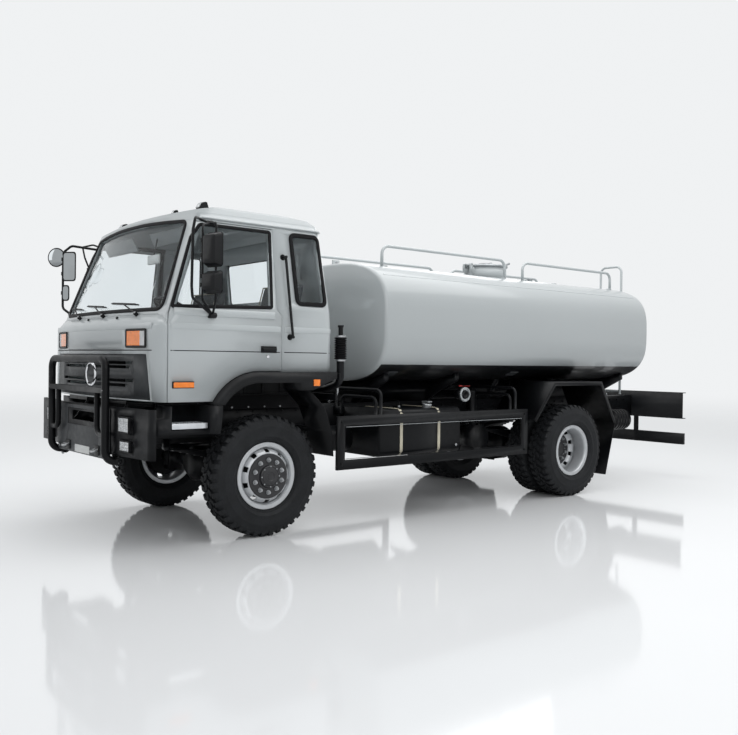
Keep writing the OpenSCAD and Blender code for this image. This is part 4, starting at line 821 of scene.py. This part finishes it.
# corner lamps: amber, then clear, in a dark frame
for s, word in SIDES:
    t = Piece(f"corner_lamp_{word}")
    across = (0.7, 0.74, 0.78, 0.82, 0.86, 0.9, 0.93, 0.965)
    places, normals = front_lay(skin("cab_lamps"), [(s * x, 1.738) for x in across])
    for i in range(len(places) - 1):
        a, b = places[i], places[i + 1]
        n = (normals[i] + normals[i + 1]).normalized()
        tall = V(0, 0, 0.06)
        mat = amber if i < 5 else clear_lens
        t.prism([a - tall, b - tall, b + tall, a + tall], n * -0.03, mat)
    ring = [(0.694, 1.675), (0.971, 1.675), (0.971, 1.801), (0.694, 1.801)]
    laid = front_lay(front_skin, [(s * x, z) for x, z in loop(ring, 0.01, 0.008)])
    trim(t, laid, 0.018, 0.012, plastic, True)
    t.done("cab", replaces=["cab_lamps"])

# clearance lamps: a dark wedge with a clear lens on its front
for i, (x, y, k) in enumerate(((-0.81, -0.54, 0.9), (0.33, -0.545, 0.62), (0.81, -0.525, 1.0))):
    hit = front_skin.ray_cast(P(x, y, 4), V(0, 0, -1))[0]
    t = Piece(f"roof_lamp_{i}")
    q = lambda u, v, w: P(x + 0.034 * k * u, y + 0.05 * k * v, hit.z + 0.055 * k * w)
    side_ = [(-1, -0.25), (1, -0.25), (0.55, 0.95), (0.2, 1.0), (-0.35, 0.85)]
    t.prism([q(-1, v, w) for v, w in side_], q(1, 0, 0) - q(-1, 0, 0), plastic)
    lens = [(-0.95, 0.02), (-0.45, 0.83), (-0.6, 0.83), (-1.1, 0.02)]
    t.prism([q(-0.8, v, w) for v, w in lens], q(0.8, 0, 0) - q(-0.8, 0, 0), clear_lens)
    t.done("cab", replaces=["cab_lamps"])

# a plain ring on the grille, over a dark disc
t = Piece("grille_ring")
face_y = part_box("cab_grille")[0].y
t.lathe([(0.088, 0.0), (0.112, 0.0), (0.114, 0.006), (0.11, 0.014), (0.102, 0.019), (0.094, 0.018),
         (0.088, 0.012)], (0, face_y + 0.008, 1.426), (0, -1, 0), chrome, seg=64, ring=True)
t.lathe([(0, 0), (0.09, 0), (0.09, 0.006), (0, 0.006)], (0, face_y + 0.008, 1.426), (0, -1, 0), dark_grey,
        seg=48)
t.done("cab")

# interior mirror, sun visors, gear lever, instrument hood
t = Piece("cab_inside")
t.box(P(0.19, -0.747, 2.42), P(0.42, -0.722, 2.506), plate_white, 0.012)
t.rod(P(0.305, -0.735, 2.5), P(0.305, -0.7, 2.66), 0.007, plastic)
for s in (1, -1):
    t.box(P(s * 0.18, -0.7, 2.585), P(s * 0.86, -0.685, 2.71), interior, 0.007,
          Matrix.Rotation(math.radians(28), 3, "X"))
t.tube(rounded([P(0.1, -0.6, 1.64), P(0.11, -0.62, 1.84), P(0.16, -0.56, 1.97)], 0.08), 0.012, plastic)
t.lathe([(0, -0.03), (0.022, -0.024), (0.03, 0), (0.022, 0.024), (0, 0.03)], P(0.165, -0.555, 1.985),
        (0.3, 0.3, 1), plastic, seg=24)
t.box(P(0.34, -0.86, 1.975), P(0.8, -0.7, 2.015), interior, 0.015)
t.done("cab")

# ------------------------------------------------------------------ mirrors


def mirror_head(t, mid, wide, tall, deep, facing):
    """A rounded mirror housing whose glass looks along facing."""
    f = Vector(facing).normalized()
    across = V(0, 0, 1).cross(f).normalized()
    up_ = f.cross(across)
    spin = Matrix((across, f, up_)).transposed()
    corners = rounded([(-wide / 2, -tall / 2), (wide / 2, -tall / 2), (wide / 2, tall / 2),
                       (-wide / 2, tall / 2)], 0.032, closed=True)
    mid = Vector(mid)
    rows = ((0.0, -0.003), (-0.004, -0.003), (0.0, 0.003), (0.45, 0.01), (0.85, 0.024), (1.0, 0.05))
    verts, faces, n = [], [], len(corners)
    for k, (h, cut) in enumerate(rows):
        kx, kz = 1 - 2 * cut / wide * (1 if h > 0 else 0.4), 1 - 2 * cut / tall
        verts += [mid + spin @ V(c[0] * kx, deep / 2 - h * deep, c[1] * kz) for c in corners]
    for k in range(len(rows) - 1):
        for i in range(n):
            j = (i + 1) % n
            faces.append([k * n + i, k * n + j, (k + 1) * n + j, (k + 1) * n + i])
    faces.append([(len(rows) - 1) * n + i for i in range(n)])
    faces.append(list(range(n)))
    t.add(verts, faces, plastic)
    glass_ = [mid + spin @ V(c[0] * (1 - 0.022 / wide), deep / 2 + 0.0005, c[1] * (1 - 0.022 / tall))
              for c in corners]
    t.prism(glass_, f * 0.0022, mirror_glass)


t = Piece("mirror_set_left")
clamp = P(1.165, -0.64, 2.7)
foot = P(1.216, -0.64, 1.935)
for points, bend, r in (
        ((P(1.26, -0.8, 2.715), P(1.395, -0.9, 2.7), P(1.405, -0.925, 2.6), P(1.4, -0.93, 2.15),
          P(1.36, -0.9, 2.06)), 0.06, 0.0115),
        ((P(1.3, -0.775, 2.665), P(1.33, -0.8, 2.62), P(1.335, -0.8, 2.06)), 0.04, 0.01),
        ((P(1.36, -0.7, 2.68), P(1.375, -0.7, 2.64), P(1.372, -0.7, 2.04)), 0.04, 0.01)):
    t.tube(rounded([clamp, *points, foot], bend), r, black, seg=14)
for a in (clamp, foot):
    t.box(a - V(0.022, 0.034, 0.024), a + V(0.01, 0.034, 0.024), plastic, 0.006)
    t.lathe([(0, -0.03), (0.02, -0.026), (0.026, 0), (0.02, 0.026), (0, 0.03)], a + V(0.014, 0, 0),
            (0, 1, 0), plastic, seg=24)
mirror_head(t, P(1.425, -0.772, 2.452), 0.19, 0.275, 0.075, (-0.25, 0.97, 0))
mirror_head(t, P(1.425, -0.775, 2.19), 0.195, 0.18, 0.075, (-0.25, 0.97, 0))
for z in (2.53, 2.41, 2.24, 2.17):
    t.rod(P(1.335, -0.802, z - 0.016), P(1.335, -0.802, z + 0.016), 0.018, plastic)
t.done("left_door", replaces=["mirrors_left"])

t = Piece("mirror_set_right")
pad = P(-1.15, -0.66, 2.688)
foot = P(-1.216, -0.83, 1.945)
tall_bow = [pad, P(-1.325, -0.885, 2.728), P(-1.4, -0.945, 2.66), P(-1.4, -0.945, 2.08), foot]
stay = [P(-1.15, -0.64, 2.715), P(-1.22, -0.7, 2.745), P(-1.262, -0.8, 2.715)]
brace = [P(-1.255, -0.795, 2.712), P(-1.18, -0.8, 2.6), P(-1.165, -0.76, 2.49)]
for points, bend, r, seg in ((tall_bow, 0.06, 0.0125, 14), (stay, 0.03, 0.009, 12),
                             (brace, 0.02, 0.009, 12)):
    t.tube(rounded(points, bend), r, black, seg)
for a in (pad, foot, P(-1.16, -0.755, 2.475)):
    t.box(a - V(0.01, 0.03, 0.022), a + V(0.018, 0.03, 0.022), plastic, 0.006)
turn_ = V(0.62, -0.78, 0)
mirror_head(t, P(-1.332, -0.892, 2.512), 0.15, 0.3, 0.046, turn_)
mirror_head(t, P(-1.362, -0.916, 2.238), 0.082, 0.16, 0.046, turn_)
at = P(-1.457, -0.99, 2.61)
t.lathe([(0, -0.024), (0.06, -0.02), (0.092, -0.008), (0.1, 0.004), (0.1, 0.008), (0.094, 0.01),
         (0, 0.01)], at, turn_, plastic, seg=56)
t.lathe([(0, 0.009), (0.092, 0.009), (0.07, 0.014), (0.04, 0.018), (0, 0.02)], at, turn_, mirror_glass,
        seg=56)
t.rod(P(-1.4, -0.95, 2.6), P(-1.445, -0.972, 2.6), 0.012, plastic)
for z in (2.59, 2.44, 2.24):
    t.rod(P(-1.4, -0.945, z - 0.018), P(-1.4, -0.945, z + 0.018), 0.019, plastic)
t.done("right_door", replaces=["mirrors_right"])

# ------------------------------------------------------------------ bumper, road lamps, guard
t = Piece("bumper_plate")
places, _ = front_lay(skin("front_bumper"), [(0.0, 0.8)])
plate_y = places[0].y
low_z, high_z = (corner.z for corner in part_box("front_bumper"))


def plate_part(x1, x2, z1, z2, mat=None, lift=0.0, thick=0.006):
    t.box((x1, plate_y - thick - lift, z1), (x2, plate_y - lift + 0.001, z2), mat or dark_grey, 0.003)


# a plate with an opening in its middle, and a blank number plate under it
PLATE_HALF, OPEN_HALF = 0.6, 0.36
plate_low, plate_high = low_z + 0.03, high_z - 0.02
plate_part(-PLATE_HALF, -OPEN_HALF, plate_low, plate_high)
plate_part(OPEN_HALF, PLATE_HALF, plate_low, plate_high)
plate_part(-OPEN_HALF, OPEN_HALF, plate_low, 0.965)
plate_part(-OPEN_HALF, OPEN_HALF, 1.115, plate_high)
plate_part(-0.17, 0.17, low_z + 0.04, low_z + 0.108, plate_white, 0.006, 0.004)
for x in (-0.54, 0.54):
    for z in (low_z + 0.07, high_z - 0.06):
        t.hexagon((x, plate_y - 0.006, z), (x, plate_y - 0.018, z), 0.014, steel)
for x in (-0.34, 0.34):
    t.box((x - 0.055, plate_y - 0.014, low_z + 0.05), (x + 0.055, plate_y - 0.005, low_z + 0.135), black,
          0.004)
    t.tube(rounded([(x - 0.03, plate_y - 0.01, low_z + 0.1), (x - 0.03, plate_y - 0.055, low_z + 0.085),
                    (x + 0.03, plate_y - 0.055, low_z + 0.085), (x + 0.03, plate_y - 0.01, low_z + 0.1)],
                   0.02), 0.011, steel, seg=12)
t.done("chassis")

# faces of a shallow pyramid: four corners, the tip, four corners below
facet = [[0, 1, 4], [1, 2, 4], [2, 3, 4], [3, 0, 4], [8, 7, 6, 5], [0, 5, 6, 1], [1, 6, 7, 2], [2, 7, 8, 3],
         [3, 8, 5, 0]]
t = Piece("lamp_clusters")
for s in (1, -1):
    for (x1, x2, z1, z2) in ((0.748, 0.952, 0.963, 1.087), (0.768, 0.952, 0.808, 0.892)):
        spots = [(s * x, (z1 + z2) / 2) for x in (x1, (x1 + x2) / 2, x2)]
        laid, normals = front_lay(skin("road_lamps"), spots)
        if len(laid) < 3:
            continue
        a, _, b = laid
        n = sum(normals, Vector()).normalized()
        across = (b - a).normalized()
        tall = V(0, 0, (z2 - z1) / 2)
        wide_ = (b - a).length / 2
        mid = (a + b) / 2 + n * 0.002
        q = lambda u, v, d: mid + across * (u * wide_) + tall * v + n * d
        # bright bowl behind facets of clear glass
        square = ((-1, -1), (1, -1), (1, 1), (-1, 1))
        t.prism([q(u, v, -0.012) for u, v in square], n * 0.006, reflector)
        t.lathe([(0.012, -0.008), (0.03, -0.006), (0.04, -0.003), (0.042, -0.001), (0.04, -0.001),
                 (0.028, -0.004), (0.012, -0.006)], mid, n, reflector, seg=40, ring=True)
        cols, rows = 4, 3
        for i in range(cols):
            for j in range(rows):
                u0, u1 = -0.96 + 1.92 * i / cols, -0.96 + 1.92 * (i + 1) / cols - 0.03
                v0, v1 = -0.94 + 1.88 * j / rows, -0.94 + 1.88 * (j + 1) / rows - 0.04
                c = q((u0 + u1) / 2, (v0 + v1) / 2, 0.004)
                ring_ = [q(u0, v0, 0), q(u1, v0, 0), q(u1, v1, 0), q(u0, v1, 0)]
                under = [v - n * 0.003 for v in ring_]
                t.add(ring_ + [c] + under, facet, clear_lens)
        edge = dense([q(u, v, 0) for u, v in square], 0.02, True)
        t.sweep(edge, [(-0.006, -0.012), (-0.006, 0.002), (0.006, 0.004), (0.006, -0.012)], plastic,
                [n] * len(edge), True)
t.done("chassis", angle=12, replaces=["road_lamps"])

t = Piece("guard_fittings")
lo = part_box("brush_guard")[0]
for s in (1, -1):
    x = s * 0.635
    eye = V(x, lo.y + 0.14, lo.z + 0.028)
    t.tube([eye + around(V(0.033, 0, 0), V(0, 0, 0.036), i, 16) for i in range(16)], 0.007, steel, seg=8,
           closed=True)
    t.hexagon((x, lo.y + 0.008, 1.3), (x, lo.y + 0.0005, 1.3), 0.012, steel)
t.done("brush_guard")

# ------------------------------------------------------------------ fuel tank and what stands round it
t = Piece("fuel_fittings")
out_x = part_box("fuel_tank")[1].x
fuel_skin = skin("fuel_tank")
for y in (1.56, 2.08):
    ring_ = []
    for k in range(48):
        mid = P((0.48 + 1.1) / 2, y, 0.86)
        d = around(V(1, 0, 0), V(0, 0, 1), k, 48)
        hit, n, _, _ = fuel_skin.ray_cast(mid + d * 2, -d)
        if hit is not None:
            ring_.append((hit, n if n.dot(d) > 0 else -n))
    if len(ring_) > 8:
        t.sweep([p for p, _ in ring_], strip(0.036, 0.005), strap_cream, [n for _, n in ring_], True)
t.lathe([(0.046, -0.01), (0.046, 0.03), (0.052, 0.032), (0.052, 0.04), (0.045, 0.046), (0, 0.048)],
        P(1.0, 2.0, 1.095), (0.25, 0, 1), zinc, seg=40)
t.box(P(0.955, 1.972, 1.15), P(1.06, 2.028, 1.162), zinc, 0.005)
t.rod(P(0.85, 1.75, 1.09), P(0.85, 1.75, 1.115), 0.018, steel)
t.rod(P(0.86, 1.62, 1.09), P(0.86, 1.62, 1.108), 0.03, plastic)
t.tube(rounded([P(0.85, 1.75, 1.11), P(0.82, 1.78, 1.16), P(0.62, 1.8, 1.17), P(0.48, 1.8, 1.1)], 0.04),
       0.007, rubber, seg=10)
t.rod(P(out_x - 0.005, 2.33, 0.7), P(out_x + 0.008, 2.33, 0.7), 0.016, steel, seg=6)
t.lathe([(0.05, -0.012), (0.074, -0.012), (0.078, -0.008), (0.078, 0.006), (0.074, 0.01), (0.062, 0.0105),
         (0.06, 0.004), (0.05, 0.003)], P(0.985, 2.59, 1.22), (1, 0, 0), zinc, seg=48, ring=True)
for k in range(6):
    a = math.radians(60 * k)
    c = P(0.985, 2.59, 1.22) + V(0.01, 0.067 * math.cos(a), 0.067 * math.sin(a))
    t.hexagon(c, c + V(0.006, 0, 0), 0.007, steel)
t.done("chassis")

# lips round the opening of each side guard: the upper one is a light zinc strip, a painted highlight on the
# rail's edge; the lower one is black
guard_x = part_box("side_guards")[1].x
for s, word in SIDES:
    t = Piece(f"guard_lip_highlight_{word}")
    x = s * (guard_x + 0.0005)
    for z1, z2 in ((0.65, 0.654), (0.949, 0.953)):
        # the upper zinc strip is a painted highlight
        t.box(P(x, 0.79, z1), P(x - s * 0.004, 3.28, z2), zinc if z1 > 0.9 else black, 0.0008)
    for y in (0.74, 3.33):
        for z in (0.6, 1.0):
            t.hexagon(P(x - s * 0.003, y, z), P(x + s * 0.009, y, z), 0.012, black)
    t.done("chassis")

# air intake behind the cab: a stack with a bellows
t = Piece("air_intake")
c = P(1.13, 0.765, 0)
at = lambda z: V(c.x, c.y, z)
t.rod(at(1.8), at(1.885), 0.022, black, seg=24)
t.rod(at(1.885), at(1.905), 0.028, black, seg=24)
rows = []
for k in range(10):
    z = 1.585 + 0.021 * k
    rows += [(0.046, z), (0.06, z + 0.007), (0.06, z + 0.012), (0.046, z + 0.019)]
t.lathe([(0, 1.58)] + rows + [(0, 1.8)], (c.x, c.y, 0), (0, 0, 1), rubber, seg=36)
t.tube(rounded([at(1.59), at(1.36), at(1.3) + V(-0.25, 0.02, 0), at(1.28) + V(-0.55, 0.04, 0)], 0.1),
       0.036, black, seg=20)
t.tube(rounded([at(1.5) + V(-0.08, 0.03, 0), at(1.25) + V(-0.08, 0.03, 0),
                at(1.17) + V(-0.3, 0.1, 0)], 0.06), 0.012, steel, seg=12)
for z in (1.575, 1.8):
    t.lathe([(0.05, z - 0.008), (0.052, z - 0.008), (0.052, z + 0.008), (0.05, z + 0.008)], (c.x, c.y, 0),
            (0, 0, 1), steel, seg=36, ring=True)
t.box(P(1.02, 0.7, 1.395), P(1.2, 0.72, 1.455), black, 0.004)
t.box(P(0.42, 0.69, 1.2), P(1.16, 0.712, 1.262), black, 0.004)
t.done("chassis")

# ------------------------------------------------------------------ tank details
tank_skin = skin("water_tank")
t = Piece("tank_seams")
for s in (1, -1):
    laid = lay(tank_skin, [P(0, y, 2.44) for y in [1.4 + 0.1 * k for k in range(44)]], (-s, 0, 0))
    trim(t, laid, 0.014, 0.0035, paint)
t.done("chassis")

t = Piece("belly_plates")
for s in (1, -1):
    for y in (1.6, 3.46):
        laid, normals = lay(tank_skin, [P(0, y, 1.445)], (-s, 0, 0))
        if laid:
            p_, n = laid[0], normals[0]
            spin = n.to_track_quat("X", "Z").to_matrix()
            t.box(p_ - V(0.008, 0.065, 0.05), p_ + V(0.008, 0.065, 0.05), dark_grey, 0.003, spin)
t.done("chassis")

t = Piece("manhole_fittings")
neck = JOINTS["lid_swing"] + V(0, 0.31, 0)
top = neck.z - 0.02
for k in range(6):
    a = math.radians(60 * k + 30)
    d = V(math.cos(a), math.sin(a), 0)
    c = V(0, neck.y, 0) + d * 0.245
    t.rod(V(c.x, c.y, top + 0.02), V(c.x, c.y, top + 0.044), 0.016, steel, seg=6)
    t.box(V(c.x - 0.03, c.y - 0.012, top + 0.022), V(c.x + 0.03, c.y + 0.012, top + 0.032), zinc, 0.003,
          Matrix.Rotation(a, 3, "Z"))
t.lathe([(0.07, 0), (0.082, 0.004), (0.082, 0.012), (0.07, 0.016)], (0, neck.y, top + 0.045), (0, 0, 1),
        steel, seg=36, ring=True)
t.done("manhole_lid")

t = Piece("tank_fittings")
hit = drop(tank_skin, 0, 1.55)
t.box(hit - V(0.012, 0.045, 0.006), hit + V(0.012, 0.045, 0.075), paint, 0.004)
t.rod(hit + V(-0.014, 0, 0.045), hit + V(0.014, 0, 0.045), 0.016, steel)
for x, y in ((0.22, 4.55), (-0.22, 4.55), (0.0, 5.3)):
    hit = drop(tank_skin, x, y)
    t.rod(hit - V(0, 0, 0.004), hit + V(0, 0, 0.05), 0.032, paint)
    t.rod(hit + V(0, 0, 0.05), hit + V(0, 0, 0.066), 0.045, zinc)
for s in (1, -1):
    for y in (1.72, 3.58, 3.96, 5.69):
        hit = drop(tank_skin, s * 0.62, y)
        if hit is not None:
            t.rod(hit - V(0, 0, 0.004), hit + V(0, 0, 0.008), 0.038, paint)
t.done("chassis")

# ------------------------------------------------------------------ seats
for s, word in ((1, "driver"), (-1, "passenger")):
    c = s * 0.71
    for part, lo, hi, crown in (("cushion", (c - 0.29, -0.255, 1.645), (c + 0.29, 0.28, 1.78), 0.03),
                                ("back", (c - 0.27, 0.215, 1.775), (c + 0.27, 0.33, 2.275), 0.035),
                                ("headrest", (c - 0.135, 0.375, 2.285), (c + 0.135, 0.455, 2.455), 0.025)):
        bm = bmesh.new()
        bmesh.ops.create_cube(bm, size=1)
        lo_, hi_ = P(*lo), P(*hi)
        size, mid = hi_ - lo_, (lo_ + hi_) / 2
        for v in bm.verts:
            v.co = Vector(a * b for a, b in zip(v.co, size))
        bmesh.ops.subdivide_edges(bm, edges=bm.edges[:], cuts=11, use_grid_fill=True)
        # a cushion's crowned face looks up, a back's looks forward
        flat, outward = (2, 1) if part == "cushion" else (1, -1)
        for v in bm.verts:
            u = [v.co[i] / (size[i] / 2) for i in range(3)]
            others = [i for i in range(3) if i != flat]
            bulge = (1 - u[others[0]] ** 2) * (1 - u[others[1]] ** 2)
            # crowned face, rounded rim, stitched channels
            round_ = 1 - 0.045 * (abs(u[others[0]]) ** 6 + abs(u[others[1]]) ** 6)
            v.co[flat] *= round_ ** 2
            if u[flat] * outward > 0.9:
                seam = min(abs(abs(u[0]) - 0.55), abs(u[others[1]] - 0.1) if part != "headrest" else 1)
                v.co[flat] += (crown * bulge - (0.01 if seam < 0.07 else 0)) * outward
            for i in others:
                v.co[i] *= 1 - 0.02 * abs(u[flat]) ** 4
        if part == "back":
            for v in bm.verts:
                v.co.y += (v.co.z + size.z / 2) * 0.26
        mesh = bpy.data.meshes.new(f"seat_{part}_{word}")
        for v in bm.verts:
            v.co += mid
        bm.to_mesh(mesh)
        bm.free()
        mesh.materials.append(cloth)
        mesh.polygons.foreach_set("use_smooth", [True] * len(mesh.polygons))
        o = put(f"seat_{part}_{word}", mesh, "cab", None, ["seats"])
        sub = o.modifiers.new("soft", "SUBSURF")
        sub.levels = sub.render_levels = 1
    t = Piece(f"seat_base_{word}")
    t.box(P(c - 0.235, -0.18, 1.5125), P(c + 0.235, 0.26, 1.644), plastic, 0.012)
    t.rod(P(c - 0.06, 0.36, 2.2), P(c - 0.06, 0.41, 2.33), 0.008, steel)
    t.rod(P(c + 0.06, 0.36, 2.2), P(c + 0.06, 0.41, 2.33), 0.008, steel)
    # piping along the back's edges
    for u in (-0.255, 0.255):
        t.tube(dense([P(c + u, 0.205, 1.8), P(c + u, 0.33, 2.255)], 0.05), 0.006, strap_cream, seg=8)
    t.tube(dense([P(c - 0.255, 0.33, 2.262), P(c + 0.255, 0.33, 2.262)], 0.05), 0.006, strap_cream, seg=8)
    t.done("cab", replaces=["seats"])

# ------------------------------------------------------------------ tail
t = Piece("tail_lamps")
for s in (1, -1):
    for x1, x2, mat in ((0.855, 0.95, red_lens), (0.955, 1.05, amber), (1.055, 1.145, clear_lens)):
        hit = skin("tail_beam").ray_cast(P(s * (x1 + x2) / 2, 9, 1.005), V(0, -1, 0))[0]
        if hit is not None:
            t.box((s * x1, hit.y - 0.004, 0.955), (s * x2, hit.y + 0.012, 1.055), mat, 0.006)
t.done("chassis")

# ------------------------------------------------------------------ steps, arch walls, frame bolts
t = Piece("step_treads")
for s in (1, -1):
    edge = CAB_HALF * s
    t.box(P(edge - 0.19 * s, -0.988, 1.038), P(edge - 0.002 * s, -0.665, 1.046), tread_alloy, 0.002)
    t.box(P(edge - 0.01 * s, -0.988, 1.0), P(edge + 0.004 * s, -0.665, 1.045), tread_alloy, 0.003)
    t.box(P(edge - 0.17 * s, -0.98, 0.985), P(edge - 0.02 * s, -0.68, 1.039), plastic, 0.003)
    for i in range(7):
        for j in range(4):
            c = P(edge - s * (0.15 - 0.04 * j), -0.95 + 0.042 * i, 1.046)
            t.rod(c, c + V(0, 0, 0.003), 0.009, tread_alloy, seg=10)
t.done("chassis")

# ribbed walls over the front wheels, on the cab, and skirts below them, on the frame
t = Piece("arch_walls")
for s in (1, -1):
    out_ = [P(s * 0.53, y, z) for y, z in ((-0.86, 1.24), (0.64, 1.24), (0.64, 1.5), (-0.86, 1.5))]
    t.prism(out_, V(s * 0.006, 0, 0), black)
    for i in range(7):
        y = -0.72 + 0.2 * i
        t.rod(P(s * 0.537, y, 1.255), P(s * 0.537, y, 1.49), 0.009, black, seg=10)
    t.box(P(s * 0.515, -0.86, 1.238), P(s * 0.553, 0.6, 1.252), black, 0.004)
t.done("cab")
t = Piece("frame_skirts")
for s in (1, -1):
    out_ = [P(s * 0.475, y, z) for y, z in ((-0.8, 1.1), (0.8, 1.1), (0.8, 1.275), (-0.8, 1.275))]
    t.prism(out_, V(s * 0.006, 0, 0), rubber)
    for i in range(8):
        c = P(s * 0.48, -0.74 + 0.18 * i, 1.12)
        t.hexagon(c, c + V(s * 0.01, 0, 0), 0.01, steel)
t.done("chassis")

t = Piece("frame_bolts")
for s in (1, -1):
    x = s * 0.43
    for y in [-0.95 + 0.17 * k for k in range(44)]:
        for z in (0.905, 1.075):
            t.hexagon(P(x, y, z), P(x + s * 0.012, y, z), 0.012, black)
t.done("chassis")

# ------------------------------------------------------------------ floor, light


def shown_rays(tree):
    """1 for the rays that show the background: camera, glossy and transmission."""
    rays = node(tree, "LightPath").outputs
    seen = maths(tree, "MAXIMUM", rays["Is Camera Ray"], rays["Is Glossy Ray"])
    return maths(tree, "MAXIMUM", seen, rays["Is Transmission Ray"])


def blend(tree, amount, near, far, surface):
    """Mixes two shaders into a surface."""
    mix = node(tree, "MixShader")
    for i, source in enumerate((amount, near, far)):
        tree.links.new(source, mix.inputs[i])
    tree.links.new(mix.outputs["Shader"], surface.inputs["Surface"])


BACKDROP = (0.87, 0.885, 0.895, 1)
FLOOR_HALF = 900
FADE_FROM, FADE_TO = 7.0, 42.0  # distances over which the floor fades into the backdrop
floor, tree, shader = material("floor", (0.84, 0.85, 0.86), 0.07, Specular_IOR_Level=0.5)
ramp(tree, noise(tree, 0.2, 2), (0.835, 0.845, 0.855), (0.85, 0.86, 0.868), shader.inputs["Base Color"])
reach = node(tree, "VectorMath", "LENGTH")
tree.links.new(object_place(tree), reach.inputs[0])
fade = node(tree, "MapRange", From_Min=FADE_FROM, From_Max=FADE_TO)
fade.interpolation_type = "SMOOTHSTEP"
tree.links.new(reach.outputs["Value"], fade.inputs["Value"])
far = node(tree, "Emission", Color=BACKDROP)
blend(tree, maths(tree, "MULTIPLY", fade.outputs["Result"], shown_rays(tree)), shader.outputs["BSDF"],
      far.outputs["Emission"], tree.nodes["Material Output"])
mesh = bpy.data.meshes.new("floor")
mesh.from_pydata([(x * FLOOR_HALF, y * FLOOR_HALF, 0) for x, y in ((-1, -1), (1, -1), (1, 1), (-1, 1))], [],
                 [[0, 1, 2, 3]])
mesh.materials.append(floor)
ground = bpy.data.objects.new("floor", mesh)
bpy.context.scene.collection.objects.link(ground)

world = bpy.data.worlds.new("studio")
bpy.context.scene.world = world
world.use_nodes = True
tree = world.node_tree
light = tree.nodes["Background"]
set_inputs(light, dict(Color=(0.86, 0.88, 0.9, 1), Strength=0.55))
pale = node(tree, "Background", Color=BACKDROP, Strength=1.0)
blend(tree, shown_rays(tree), light.outputs["Background"], pale.outputs["Background"],
      tree.nodes["World Output"])


def lamp(name, at, target, size, power):
    data = bpy.data.lights.new(name, "AREA")
    data.shape = "RECTANGLE"
    data.size, data.size_y = size
    data.energy = power
    o = bpy.data.objects.new(name, data)
    bpy.context.scene.collection.objects.link(o)
    o.location = at
    o.rotation_mode = "QUATERNION"
    o.rotation_quaternion = (Vector(target) - Vector(at)).to_track_quat("-Z", "Y")


lamp("overhead", (1.0, 0.5, 8.0), (0, 0, 0), (9, 13), 700)
lamp("left_soft", (9, -5, 5.5), (0, 0, 1.4), (6, 5), 180)
lamp("front_soft", (-5, -11, 5), (0, 0, 1.4), (6, 5), 120)
lamp("back_soft", (-8, 8, 6), (0, 0, 1.4), (6, 5), 120)

bpy.context.scene.view_settings.view_transform = "Standard"
